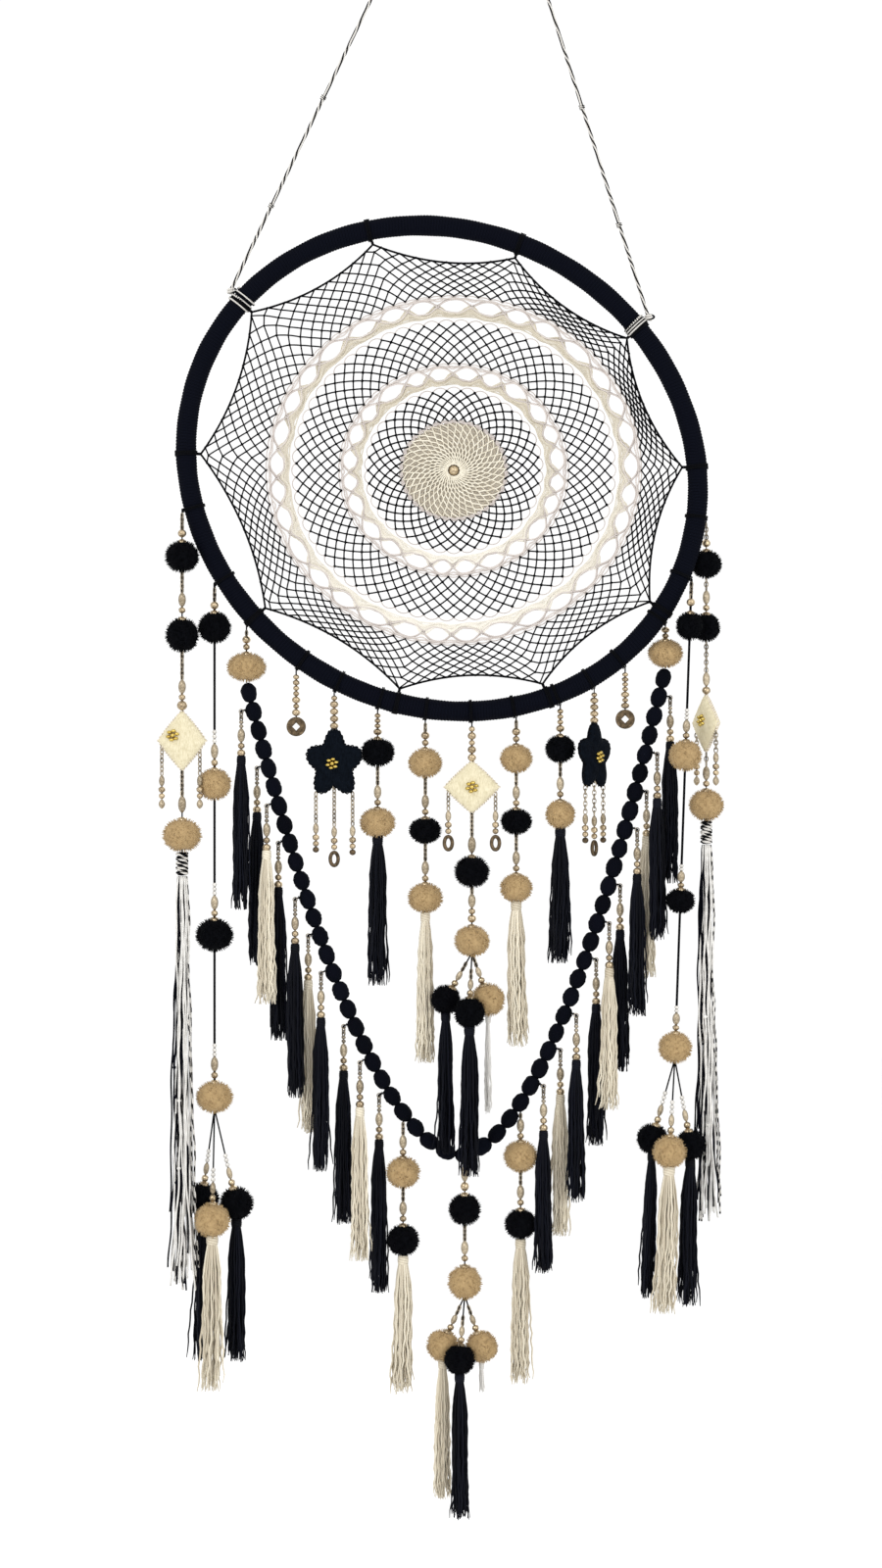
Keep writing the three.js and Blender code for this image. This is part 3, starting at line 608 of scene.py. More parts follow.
# --- Hoop. ---
def make_hoop():
    """The tube's circle carried round the oval. Its radius swells at each turn of the yarn, which winds
    on slowly round the tube, and the turns lie a little unevenly."""
    rows, sides, turns = 3180, 20, 530
    angle = np.linspace(0, 360, rows, endpoint=False)
    path = hoop_point(angle)[None] + HOOP_MIDDLE
    tangent, across, up = frames(path, (0, 1, 0), True)
    step = np.linalg.norm(np.roll(path, -1, 1) - path, axis=2)
    along = np.concatenate([[0], np.cumsum(step[0])[:-1]])
    share = along / step.sum()
    round_it = np.arange(sides) * TURN / sides
    uneven = (0.9 * np.sin(TURN * 9 * share) + 0.7 * np.sin(TURN * 23 * share + 1.3)
              + 0.5 * np.sin(TURN * 61 * share + 0.4))
    phase = TURN * turns * share[:, None] + uneven[:, None] + round_it[None]
    swell = np.abs(np.cos(0.5 * phase)) ** 0.7
    lumps = (0.12 * np.sin(TURN * 17 * share)[:, None]
             + 0.1 * np.sin(TURN * 41 * share[:, None] + 2 * round_it))
    radius = (WRAP_R - 0.3 + 0.55 * swell + lumps)[None, :, :, None]
    rings = path[:, :, None] + radius * (np.cos(round_it)[:, None] * across[:, :, None]
                                         + np.sin(round_it)[:, None] * up[:, :, None])
    grain = np.stack([radius[..., 0] * np.cos(round_it), radius[..., 0] * np.sin(round_it),
                      np.broadcast_to(along[None, :, None], radius.shape[:3])], -1)
    # painted shade: the shade follows the swell of each turn, so the grooves between the turns take the
    # darker colour
    shade = np.broadcast_to(swell[None], grain.shape[:3])
    make("hoop_wrapping", [skin(rings, grain, shade, loop=True)], "black_yarn", "hoop",
         ["hoop_wrap"])
    core = frame["nodes"]["hoop_core"].data.materials
    core.clear()
    core.append(FINISHES["rattan"])


def round_hoop(angle, reach, out, turns, spread, y=0.0):
    """Turns of thread round the tube at an angle: a circle of the reach, drawn out where it passes the
    point that hangs from it, and stepping along the tube."""
    rows = int(28 * turns)
    spin = np.linspace(0, TURN * turns, rows)
    centre = hoop_point(angle) + HOOP_MIDDLE
    ahead = unit(hoop_point(angle + 0.5) - hoop_point(angle - 0.5))
    outward = unit(hoop_point(angle, 5.0) - hoop_point(angle))
    outward = unit(outward - ahead * outward.dot(ahead))
    distance = math.hypot(out, y)
    toward = math.atan2(y, out)
    pull = np.zeros(rows)
    if distance > reach:
        away = np.abs((spin - toward + math.pi) % TURN - math.pi)
        pull = np.maximum(0, math.acos(reach / distance) - away)
    radius = reach / np.cos(pull)
    step = (spin / (TURN * turns) - 0.5) * spread
    return (centre + radius[:, None] * (np.cos(spin)[:, None] * outward
                                        + np.sin(spin)[:, None] * np.array([0, 1, 0]))
            + step[:, None] * ahead), ahead


def make_lashing(side):
    """Turns of pale and dark cord round the tube, and the knot where they meet the hanging cord."""
    spread = {"left": 11.0, "right": 6.5}[side]
    tie = hanging_route(side)[3]
    wound = []
    for shade, shift, turns in ((1.0, 0.0, 3.0), (0.0, 0.22, 3.4)):
        route, ahead = round_hoop(LASH_ANGLES[side] + shift, WRAP_R + 0.95, 0, turns, spread)
        wound.append(yarns(route[None], 0.85, 8, aside=ahead, shade=shade))
    spin = np.linspace(0, TURN * 2.2, 60)
    knot = tie + np.stack([2.1 * np.cos(spin), 1.8 * np.sin(spin), 0.3 * spin - 2.4], -1)
    loop = tie + np.stack([1.5 + 3.0 * np.cos(spin / 2), 0.6 * np.sin(spin), 1.6 * np.sin(spin / 2)], -1)
    make("lashing_cord_" + side,
         [*wound, yarns(knot[None], 0.85, 8, aside=(0, 0, 1), shade=1.0),
          yarns(loop[None], 0.75, 8, aside=(0, 1, 0), shade=0.0),
          moved(ball(1.9), tie - np.array([0, 0, 0.3]))],
         "striped_cord", "hoop", ["lashing_" + side])


# --- Web. ---
NET_WANDER = 0.35
INNER_NET, MIDDLE_NET, OUTER_NET = (38, 6), (66, 7), (96, 9)  # columns, rows


def web_point(radius, turns, y=0.0):
    """A place on the web, from its radius and the share of a turn round it."""
    angle = TURN * turns
    return np.stack([radius * np.cos(angle), y + 0 * radius, radius * WEB_SQUASH * np.sin(angle)],
                    -1) + WEB_MIDDLE


def anchor_places():
    """Where the net's points are, and the hoop's inner side beside them, from the web's middle."""
    on_hoop = hoop_point(ANCHORS, -WRAP_R - GAP) + HOOP_MIDDLE - WEB_MIDDLE
    length = np.linalg.norm(on_hoop, axis=1, keepdims=True)
    return on_hoop * (length - ANCHOR_LINK) / length, on_hoop


def edge_curves():
    """The web's edge from each anchor to the next: a curve through three points, drawn in at its middle."""
    points, _ = anchor_places()
    after = np.roll(points, -1, 0)
    middle = (points + after) / 2
    length = np.linalg.norm(middle, axis=1, keepdims=True)
    pull = middle * (1 - 2 * EDGE_SAG / length)
    t = np.linspace(0, 1, 25)[None, :, None]
    return points[:, None] * (1 - t) ** 2 + 2 * pull[:, None] * t * (1 - t) + after[:, None] * t ** 2


def edge_radius(turns):
    """How far the edge is from the web's middle, by the share of a turn."""
    curve = edge_curves()[:, :-1].reshape(-1, 3)
    angle = (np.arctan2(curve[:, 2] / WEB_SQUASH, curve[:, 0]) / TURN) % 1
    radius = np.hypot(curve[:, 0], curve[:, 2] / WEB_SQUASH)
    order = np.argsort(angle)
    angle, radius = angle[order], radius[order]
    angle = np.concatenate([angle[-1:] - 1, angle, angle[:1] + 1])
    radius = np.concatenate([radius[-1:], radius, radius[:1]])
    return np.interp(np.asarray(turns) % 1, angle, radius)


def net(columns, rows, inner, outer, thread, knot, bow=0.0, growth=1.0, swirl=0.0):
    """Threads of a knotted net between two radii. Row j has a knot at each half step of the columns, in
    turn, and two threads go from each knot to the next row; bow makes each leave its knot straight out,
    and swirl winds the rows round by a share of a turn."""
    j = np.arange(rows + 1)[:, None]
    i = np.arange(columns)[None]
    turns = (i + 0.5 * (j % 2)) / columns
    share = (j / rows) ** growth
    low_edge, high_edge = inner(turns), outer(turns)
    radius = low_edge + (high_edge - low_edge) * share
    jitter = NET_WANDER * (draw.random((2, rows + 1, columns)) - 0.5) * (j > 0) * (j < rows)
    radius = radius + jitter[0]
    turns = turns + jitter[1] / (TURN * np.maximum(radius, 1))
    turns = turns + swirl * share
    shift = np.where(j[:-1] % 2, 1, -1)
    near = np.stack([turns[:-1], turns[:-1]], -1)
    column = np.broadcast_to(i, (rows, columns))
    other = (column + shift) % columns
    row = j[1:] * np.ones((1, columns), int)
    far = np.stack([turns[row, column], turns[row, other]], -1)
    far = near + (far - near + 0.5) % 1 - 0.5
    near_r = np.stack([radius[:-1], radius[:-1]], -1)
    far_r = np.stack([radius[row, column], radius[row, other]], -1)
    t = np.linspace(0, 1, 7 if bow else 4)
    ease = (1 - bow) * t + bow * t * t * (3 - 2 * t)
    turn_path = near[..., None] + (far - near)[..., None] * ease
    radius_path = near_r[..., None] + (far_r - near_r)[..., None] * t
    side = np.array([1.0, -1.0])[:, None] * thread * 0.9
    lift = side * np.sin(math.pi * t) * np.where(j[:-1, :, None, None] % 2, 1, -1)
    paths = web_point(radius_path, turn_path, lift).reshape(-1, len(t), 3)
    threads = yarns(paths, thread, 5)
    centres = web_point(radius, turns).reshape(-1, 3)
    size = knot * (0.85 + 0.3 * draw.random(len(centres)))
    tilt = np.array([0.5, 1.2, 1.95, 2.65])
    spin = np.arange(6) * TURN / 6
    knob = np.stack([np.sin(tilt)[:, None] * np.cos(spin), np.sin(tilt)[:, None] * np.sin(spin),
                     -np.cos(tilt)[:, None] + 0 * spin], -1)
    rings = centres[:, None, None] + size[:, None, None, None] * knob * (1, 0.85, 1)
    shade = np.broadcast_to(draw.random(len(centres))[:, None, None], rings.shape[:3])
    return [threads, skin(rings, rings - centres[:, None, None], shade)]


def lace_ring(eyelets, inner, outer, first):
    """Loops of thread round the web. The share across the ring is a wave of the place round it: the band's
    threads lie close together at mid eyelet, and fan outwards to each junction between two eyelets, whose
    outlines are the threads beyond. The band's threads are painted paler low down: painted light."""
    rows = eyelets * 14
    place = np.arange(rows) / rows

    def stretch(part):
        return 0.1 * np.sin(TURN * 4 * part) + 0.07 * np.sin(TURN * 9 * part + 2)

    junction = 0.5 + 0.5 * np.cos(TURN * (place * eyelets + first + stretch(place)))
    open_share = np.sqrt(np.maximum(0, 1 - junction ** 1.3))
    uneven = 0.5 * np.sin(TURN * 3 * place + eyelets) + 0.5 * np.sin(TURN * 7 * place + 1)
    # painted light: towards the bottom of the ring this runs to 1, so the band's threads there take the pale
    # high colour
    painted_light_low_down = (0.5 + 0.5 * np.cos(TURN * (place - 0.75))) ** 2
    width = outer - inner

    def threads(shares, lifts, radius, shade=None):
        shares = np.stack(shares)
        lifts = np.stack([lift + 0 * place for lift in lifts])
        waves = np.outer(5 + np.arange(len(shares)) * 3, place * 5)
        wobble = 0.012 * np.sin(TURN * (waves + draw.random((len(shares), 1))))
        paths = web_point(inner + width * (shares + wobble), np.broadcast_to(place, shares.shape), lifts)
        out = yarns(paths, radius, 5, loop=True, shade=draw.random(len(shares)))
        # a shade given here is the painted light low down, mixed with each thread's own tone
        if shade is not None:
            own = 0.4 * draw.random((len(shares), 1, 1))
            out[4] = np.broadcast_to(own + (1 - own) * shade[None, :, None], (len(shares), rows, 5)).ravel()
        return out

    fan = np.linspace(0, 1, 13)
    inside = 0.2 + 0.025 * uneven + 0.03 * junction
    phase = TURN * (place * eyelets + first)
    band = [inside + k * (0.15 + 0.31 * junction ** 1.7) + 0.035 * np.sin(phase + 6 * k) * (k > 0)
            for k in fan]
    lifts = [0.55 * np.cos(9 * k + TURN * (place * eyelets * 0.5 + first)) for k in fan]
    beige = [threads(band, lifts, 0.55, painted_light_low_down)]
    outline = [0.64 + (0.3 + 0.02 * uneven) * open_share, 0.6 + (0.31 + 0.02 * uneven) * open_share,
               0.64 - 0.26 * open_share, 0.62 - 0.25 * open_share,
               0.97 - 0.03 * junction + 0.015 * uneven, 0.95 - 0.1 * junction ** 2]
    pale = [threads(outline, [0.5, -0.5, 0.7, -0.6, 0.6, -0.2], 0.62)]
    met = (np.arange(eyelets) - first) / eyelets
    met = met - stretch(met) / eyelets
    bound = web_point(inner + width * np.full(eyelets, 0.64), met)
    spot = met * TURN
    radial = np.stack([np.cos(spot), 0 * spot, np.sin(spot)], -1)
    onward = np.stack([-np.sin(spot), 0 * spot, np.cos(spot)], -1)
    spin = np.linspace(0, TURN, 13)
    ring = np.stack([1.7 * np.cos(spin), 1.3 * np.sin(spin)], -1)
    for shift in (-0.8, 0.8):
        wraps = (bound[:, None] + ring[None, :, :1] * radial[:, None]
                 + ring[None, :, 1:2] * np.array([0, 1, 0]) + shift * onward[:, None])
        pale.append(yarns(wraps, 0.45, 4, aside=(0.3, 0.2, 1)))
    return beige, pale


def scallops(columns, radius, reach, half_step):
    """Small loops that hold the points of a net to the ring beside it: arches between two points."""
    t = np.linspace(0, 1, 7)
    start = (np.arange(columns)[:, None] + half_step) / columns
    paths = web_point(radius + reach * np.sin(math.pi * t) ** 0.7 + 0 * start, start + t / columns)
    return yarns(paths, 0.42, 4)


def even_edge(radius):
    """A net's edge at one distance all the way round."""
    return lambda turns: radius + 0 * turns


def make_nets():
    """The three black nets. The outer one has a corded edge, and links from its points to the hoop."""
    inner_net = net(*INNER_NET, even_edge(MANDALA_R - 0.6), even_edge(INNER_LACE[0] - 0.5), 0.68, 1.15)
    make("inner_net", inner_net, "black_thread", "hoop", ["web_inner_net"])
    middle_net = net(*MIDDLE_NET, even_edge(INNER_LACE[1] + 0.3), even_edge(OUTER_LACE[0] - 1.0), 0.64, 1.1)
    make("middle_net", middle_net, "black_thread", "hoop", ["web_middle_net"])
    outer_net = net(*OUTER_NET, even_edge(OUTER_LACE[1] + 0.4), edge_radius, 0.62, 1.0)
    curves = edge_curves() + WEB_MIDDLE
    outer_net.append(yarns(curves + (0, 0.5, 0), 0.8, 6))
    outer_net.append(yarns(curves - (0, 0.6, 0), 0.7, 6))
    points, on_hoop = anchor_places()
    t = np.linspace(0, 1, 6)[None, :, None]
    for aside in (-0.7, 0.7):
        link = (points[:, None] * (1 - t) + on_hoop[:, None] * t) + WEB_MIDDLE + (0, aside, 0)
        outer_net.append(yarns(link, 1.15, 7))
    make("outer_net", outer_net, "black_thread", "hoop", ["web_outer_net"])
    bindings = []
    for angle in ANCHORS:
        route, ahead = round_hoop(angle, WRAP_R + 0.65, 0, 3.2, 3.6)
        bindings.append(yarns(route[None], 0.6, 6, aside=ahead))
    make("net_bindings", bindings, "black_thread", "hoop")


def make_lace():
    """The two rings of lace, each held by small loops to the nets on its two sides."""
    for name, eyelets, (inner, outer), net_within, net_beyond, first in (
            ("inner_lace", 24, INNER_LACE, INNER_NET, MIDDLE_NET, 0.0),
            ("outer_lace", 33, OUTER_LACE, MIDDLE_NET, OUTER_NET, 0.3)):
        beige, pale = lace_ring(eyelets, inner + 0.6, outer - 0.6, first)
        pale.append(scallops(net_within[0], inner - 0.3, 2.8, 0.5 * (net_within[1] % 2)))
        pale.append(scallops(net_beyond[0], outer - 0.6, 1.2, 0))
        make(name + "_band", beige, "beige_cotton_painted_light", "hoop", ["web_" + name])
        make(name + "_eyelets", pale, "lace_cotton", "hoop")


def make_mandala():
    """The close web in the middle: a swirling net on a grey ground of spokes and rounds, a rim and a bead."""
    close_net = net(38, 9, even_edge(4.6), even_edge(MANDALA_R - 0.6), 0.55, 0.7, bow=0.85, growth=1.35,
                    swirl=0.07)
    make("mandala", close_net, "web_cotton", "hoop", ["web_mandala"])
    t = np.linspace(0, 1, 14)
    ground = []
    for shift, swirl, lift in ((0.0, 0.16, 1.1), (0.5, -0.1, 1.6)):
        begins = (np.arange(84)[:, None] + shift) / 84
        reach = 5 + (MANDALA_R - 6.2) * t + 0 * begins
        paths = web_point(reach, begins + swirl * t, lift + 0 * reach)
        ground.append(yarns(paths, 0.3 + 0.55 * t[None] + 0 * begins, 4))
    loops = np.arange(420) / 420
    rounds = MANDALA_R - 2.2 - 3.4 * np.arange(9)[:, None]
    wavy = web_point(rounds + 0.5 * np.sin(TURN * 42 * loops), np.broadcast_to(loops, (9, 420)),
                     1.0 + 0 * rounds)
    ground.append(yarns(wavy, 0.55, 4, loop=True))
    make("mandala_ground", ground, "grey_cotton", "hoop")
    place = np.arange(480) / 480
    rim = np.stack([MANDALA_R - 0.9 + 0.5 * np.sin(TURN * 40 * place), MANDALA_R - 0.2 + 0 * place,
                    MANDALA_R - 0.6 + 0.5 * np.cos(TURN * 60 * place)])
    lifts = np.stack([0.6 * np.cos(TURN * 40 * place), 0 * place, 0.6 * np.sin(TURN * 60 * place)])
    rim_paths = web_point(rim, np.broadcast_to(place, rim.shape), lifts)
    make("mandala_rim", [yarns(rim_paths, 0.6, 6, loop=True), scallops(38, MANDALA_R - 0.4, 1.5, 0)],
         "lace_cotton", "hoop")
    make("mandala_bead", [moved(ball(3.7, rows=14, sides=20, bumps=0.06, turn_bumps=8), WEB_MIDDLE)],
         "gold", "hoop", ["web_bead"])
    collar = turned([(3.2, 1.2), (4.6, 0.8), (4.9, 0), (4.6, -0.8), (3.2, -1.2)], 24, 12, 0.12)
    make("mandala_collar", [moved(collar, WEB_MIDDLE, matrix=basis((0, 1, 0), (1, 0, 0)))],
         "bronze", "hoop")


# --- Beads, pompoms and tassels, hanging down from a place. ---
# A run of beads has one letter for each kind, and c for chain.
BEADS = {  # kind: (length, radius)
    "o": (11.0, 2.9), "O": (13.0, 3.1), "s": (8.5, 2.2), "r": (5.0, 2.6), "g": (6.2, 3.3),
    "G": (7.6, 4.0), "w": (3.2, 1.8), "t": (3.0, 1.7), "b": (4.6, 2.4),
}
METALS = {"o": "pale_bead", "O": "pale_bead", "s": "pale_bead", "r": "gold", "g": "gold", "G": "gold",
          "w": "white_bead", "t": "chain", "b": "gold"}
SLOTS = {"pale_bead": "pale_bead", "gold": "gold_bead", "chain": "gold_bead",
         "white_bead": "pale_bead", "black_thread": "black_thread", "bronze": "bronze"}


def bead(kind, middle, length, radius):
    """A fluted spindle, a knobbly ball or a plain one."""
    if kind in "oOs":
        t = np.linspace(-1, 1, 9)
        wide = radius * (0.22 + 0.78 * np.maximum(0, 1 - np.abs(t) ** 2.2) ** 0.8)
        shape = turned(np.stack([wide, -t * length / 2], 1), 16, 8, 0.16)
    elif kind in "rt":
        shape = ball(radius, length / 2, 9, 14, 0.1, 5, 7)
    else:
        shape = ball(radius, length / 2, 9, 14)
    return moved(shape, (0, 0, -middle))


def chain(start, stop, size=1.8):
    """Links of wire down a line, each an oval ring turned a quarter from the one above."""
    count = max(1, round((stop - start) / (size * 1.75)))
    middles = -(start + (np.arange(count) + 0.5) * (stop - start) / count)
    spin = np.arange(9) * TURN / 9
    across = size * 0.8 * np.sin(spin)
    turn = np.where(np.arange(count) % 2, 0.8, -0.8)[:, None]
    paths = np.stack([across * np.cos(turn), across * np.sin(turn),
                      middles[:, None] + size * 1.25 * np.cos(spin)], -1)
    return yarns(paths, size * 0.3, 4, aside=(0.2, 1, 0.1), loop=True)


def cap(top, radius=4.2):
    """A domed bead cap with a lobed rim, its wall folded back inside."""
    profile = [(0.9, 0), (2.0, -0.3), (3.2, -1.4), (radius, -3.4), (radius - 0.4, -3.5), (2.6, -1.8),
               (0.9, -0.9)]
    return moved(turned(profile, 20, 8, 0.1), (0, 0, -top))


def bead_run(parts, start, stop, kinds):
    """Beads from the bottom up at their own lengths, and chain above them where the kinds start with c."""
    lengths = [BEADS[k][0] for k in kinds if k != "c"]
    fit = 1.0 if "c" in kinds and sum(lengths) < stop - start - 3 else (stop - start) / sum(lengths)
    level = stop
    for kind in reversed(kinds):
        if kind == "c":
            if level - start > 2:
                parts.setdefault("chain", []).append(chain(start, level))
            continue
        length, radius = BEADS[kind]
        length *= min(fit, 1.25)
        parts.setdefault(METALS[kind], []).append(bead(kind, level - length / 2, length, radius))
        level -= length


def pompom(middle, radius, half, fibres=600):
    """A ball of cut yarn: a lumpy sphere, with tapered fibres standing out all over it."""
    tilt = np.linspace(0.1, math.pi - 0.1, 15)[:, None]
    turn = np.arange(24)[None] * TURN / 24
    lumps = sum(draw.normal(0, 0.012) * np.cos(a * turn + draw.random() * TURN)
                * np.cos(b * tilt + draw.random()) for a in (2, 3, 5, 7) for b in (2, 4, 5))
    dimple = 1 - 0.14 * np.exp(-(np.sin(tilt) * 3.2) ** 2)
    swell = (0.96 + lumps) * dimple
    wide = radius * swell * np.sin(tilt)
    rings = np.stack([wide * np.cos(turn), wide * np.sin(turn), -half * swell * np.cos(tilt)], -1)[None]
    # painted shade: the ball under the fibres has a low shade, so it is darker than the fibres over it
    body = skin(rings, rings, np.broadcast_to(0.25 + 0.2 * draw.random((1, 15, 24)), rings.shape[:3]))
    order = np.arange(fibres) + 0.5
    polar = np.arccos(1 - 2 * order / fibres)
    spin = order * GOLDEN_TURN + draw.random(fibres)
    out = np.stack([np.sin(polar) * np.cos(spin), np.sin(polar) * np.sin(spin), -np.cos(polar)], -1)
    lean = unit(out + 0.3 * draw.normal(size=out.shape))
    reach = (1.01 + 0.055 * draw.random(fibres))[:, None, None]
    t = np.array([0, 0.6, 1.0])[None, :, None]
    start = 0.8 * out[:, None]
    paths = start + ((out + 0.08 * lean)[:, None] * reach * 0.98 - start) * t
    paths = paths * np.array([radius, radius, half])
    width = 0.4 * np.array([1.0, 0.8, 0.2])
    # painted light: the fibres standing out are mostly paler than the ball, each with its own tone besides
    tufts = yarns(paths, width[None], 3, aside=(0.21, 0.33, 0.92), shade=0.35 + 0.65 * draw.random(fibres))
    return moved(joined([body, tufts]), (0, 0, -middle))


def tassel(start, stop, radius, strands=56, thread=0.72, wide=1.0, curl=0.5):
    """Strands from a bound head: each keeps its place in the bundle, which swells below the head. They
    sway in clumps, curl a little each on its own, stray outwards here and there, and end unevenly. The
    head is a profile with a ridge for each turn of its binding."""
    length, head = stop - start, 7.0
    ring = np.sqrt((np.arange(strands) + 0.6) / strands)
    spin = np.arange(strands) * GOLDEN_TURN
    t = np.linspace(0, 1, 19)[None]
    uneven = 0.1 * draw.random((strands, 1)) ** 1.8
    level = start + 1.5 + (length - 1.5) * t * (1 - uneven)
    swell = np.minimum(1, np.maximum(0, (level - start - 0.7 * head) / 24))
    spread = 0.34 + 0.5 * swell ** 0.7 + 0.1 * t
    clump = np.arange(strands) % 7
    drift = draw.normal(size=(7, 2))[clump] * 0.16 * radius
    phase = draw.random((7, 1))[clump] + 0.06 * draw.normal(size=(strands, 1))
    stray = 1 + 0.5 * (draw.random((strands, 1)) > 0.88) * t ** 2
    sway = 0.12 * radius * np.sin(TURN * (1.1 * t + phase)) * t
    waves = length / 17 * t * (0.8 + 0.4 * draw.random((strands, 1))) + draw.random((strands, 1))
    own = curl * (0.3 + 0.7 * t) * np.sin(TURN * waves) * swell
    twist = 0.25 * (draw.random((strands, 1)) - 0.5) * t * TURN * 0.4
    reach = ring[:, None] * np.maximum(radius - thread, 1) * spread * stray
    aside = wide * reach * np.cos(spin[:, None] + twist) + sway + own + drift[:, :1] * t ** 2
    back = reach * np.sin(spin[:, None] + twist) + 0.5 * sway - 0.7 * own + 0.6 * drift[:, 1:] * t ** 2
    paths = np.stack([aside, back, -level], -1)
    taper = np.concatenate([np.full(16, 1.0), [0.9, 0.75, 0.45]])
    skirt = yarns(paths, thread * taper[None], 5)
    down = np.arange(25) / 24
    neck = 0.4 * radius + 0.9
    bound = neck * (0.86 + 0.1 * np.abs(np.sin(math.pi * 5 * down)) + 0.1 * np.sin(math.pi * down))
    profile = [(0.5, 0.4), *zip(bound, -down * head), (0.5, -head - 0.4)]
    return [skirt, moved(turned(profile, 14), (0, 0, -start))]


def flower(place, radius=3.4):
    """Six petals round a boss, each a flattened ball."""
    petals = [moved(ball(1.9, 1.3, 7, 10), place + radius * np.array([math.cos(a), -0.15, math.sin(a)]))
              for a in np.arange(6) * TURN / 6 + 0.3]
    return petals + [moved(ball(1.7, 1.7, 7, 10), place + np.array([0, -0.8, 0]))]


def stuffed(outline, thick, shift):
    """Two crowned faces sewn at an outline: thickness is a root of the share of the way in from the edge."""
    sides = len(outline)
    share = np.concatenate([np.linspace(0.02, 0.8, 9), [0.88, 0.94, 0.975, 0.995, 1.0]])
    crown = np.maximum(0, 1 - share ** 3) ** 0.45
    half = thick / 2 * crown
    pucker = 1 + 0.05 * np.cos(np.arange(sides) * TURN * 14 / sides)[None] * share[:, None] ** 6
    flat = outline[None] * (share[:, None, None] * pucker[..., None] ** 0.3)
    dents = 1 + 0.05 * np.sin(flat[..., 0] * 0.5 + 1) * np.cos(flat[..., 1] * 0.45)
    front = np.stack([flat[..., 0], -half[:, None] * dents - 0.15, flat[..., 1]], -1)
    back = front * (1, -1, 1)
    rings = np.concatenate([front, back[::-1][1:]])[None, :, ::-1]
    out = skin(rings, rings, np.full(rings.shape[:3], 0.5))
    out[0] = out[0] + np.array(shift)
    return out


def stitched_edge(outline, shift):
    """A whipped seam: a thread that winds over the edge as it goes round."""
    steps = 8 * len(outline)
    share = np.arange(steps) / steps
    closed = np.concatenate([outline, outline[:1]])
    spots = share * len(outline)
    line = np.stack([np.interp(spots, np.arange(len(outline) + 1), closed[:, k]) for k in (0, 1)], -1)
    size = np.linalg.norm(line, axis=1, keepdims=True)
    spin = TURN * share * 46
    line = line * (1 + 0.5 * np.cos(spin)[:, None] / size)
    path = np.stack([line[:, 0], np.sin(spin), line[:, 1]], -1) + np.array(shift)
    return yarns(path[None], 0.55, 5, aside=(0.05, 1, 0.05), loop=True)


def diamond_outline(half_width, half_height, sides=64):
    """Four straight sides with the corners rounded: a power of cosine and sine."""
    a = np.arange(sides) * TURN / sides
    c, s = np.cos(a), np.sin(a)
    power = 1.07
    size = 1 / (np.abs(c) ** power + np.abs(s) ** power) ** (1 / power)
    return np.stack([half_width * size * c, half_height * size * s], 1) * 1.02


def star_outline(radius, sides=100):
    """Five round arms: the radius is a wave with five crests, sharpened at the notches."""
    a = np.arange(sides) * TURN / sides
    crest = 0.5 + 0.5 * np.cos(5 * (a - math.pi / 2))
    size = radius * (0.66 + 0.34 * crest ** 0.85)
    return np.stack([0.83 * size * np.cos(a), size * np.sin(a)], 1)


def dangler(parts, x, top, bottom, end):
    """A short chain with a long bead, a round one and a gold one, and a drop at its end."""
    size = {"shell": 7.5, "ball": 4.6, "donut": 13.0}[end]
    at = np.array([x, 0, 0])
    own = {}
    bead_run(own, top, bottom - size, "csrb")
    level = bottom - size
    if end == "shell":
        t = np.linspace(0, math.pi, 10)
        shell = turned(np.stack([0.3 + 2.5 * np.sin(t) ** 0.8 * (0.75 + 0.25 * t / math.pi),
                                 -(level + size * t / math.pi)], 1), 14)
        own.setdefault("pale_bead", []).append(shell)
    elif end == "ball":
        own.setdefault("bronze", []).append(bead("b", level + size / 2, size, 2.5))
    else:
        a = np.arange(32) * TURN / 32
        ring = np.stack([3.0 * np.cos(a), 0 * a, -(level + 6.8) + 5.0 * np.sin(a)], -1)
        own.setdefault("bronze", []).append(yarns(ring[None], 1.45, 10, loop=True))
    for finish, shapes in own.items():
        parts.setdefault(finish, []).extend(moved(s, at) for s in shapes)


# Share of the way from a coin's hole to its rim, and share of its full thickness there.
COIN_STOPS = ((0.0, 0.5), (0.0, 0.95), (0.12, 1.0), (0.2, 0.7), (0.82, 0.7), (0.9, 1.0), (0.97, 1.0),
              (1.0, 0.75))


def coin(middle, radius=7.4):
    """A round plate with a raised rim and a square hole: each ring between is a blend of the two outlines."""
    a = np.arange(48) * TURN / 48
    circle = np.stack([np.cos(a), np.sin(a)], 1)
    square = circle / np.abs(circle).sum(1, keepdims=True)
    rings = []
    for side, stops in ((-1, COIN_STOPS), (1, COIN_STOPS[::-1])):
        for share, height in stops:
            outline = square * 3.0 * (1 - share) + circle * radius * share
            rings.append(np.stack([outline[:, 0], side * 0.95 * height + 0 * a, outline[:, 1]], -1))
    rings = np.stack(rings)[None, :, ::-1]
    shape = skin(rings, rings, np.full(rings.shape[:3], 0.5), loop=True)
    return moved(shape, (0, 0, -middle))


# Colours are black, tan, cream and white.
WOOL = {"b": "black_wool", "t": "tan_wool"}
WOOL_SLOT = {"b": "black_yarn", "t": "tan_wool"}
SILK = {"b": "black_silk", "c": "cream_silk", "w": "white_cotton"}
CURL = {"b": 0.45, "c": 0.8, "w": 0.4}
SILK_SLOT = {"b": "black_tassel", "c": "cream_tassel", "w": "cream_tassel"}


# --- Strings. Every drop is in mm below the tie. ---
# A run is what is threaded on a string, from the top down, and its wrap is ("wrap", from, to, radius).
# A diamond is (middle, half width, half height), a flower (aside, up) from the charm's middle, a dangler
# (aside, from, to, end) and a bunch's branch (aside, middle, radius, back, tassel's end, tassel's radius,
# pompom's colour, tassel's colour).
def beads(start, stop, kinds="cor"):
    return ("beads", start, stop, kinds)


def wool(middle, radius, half, colour):
    return ("pompom", middle, radius, half, colour)


def silk(start, stop, radius, colour):
    return ("tassel", start, stop, radius, colour)


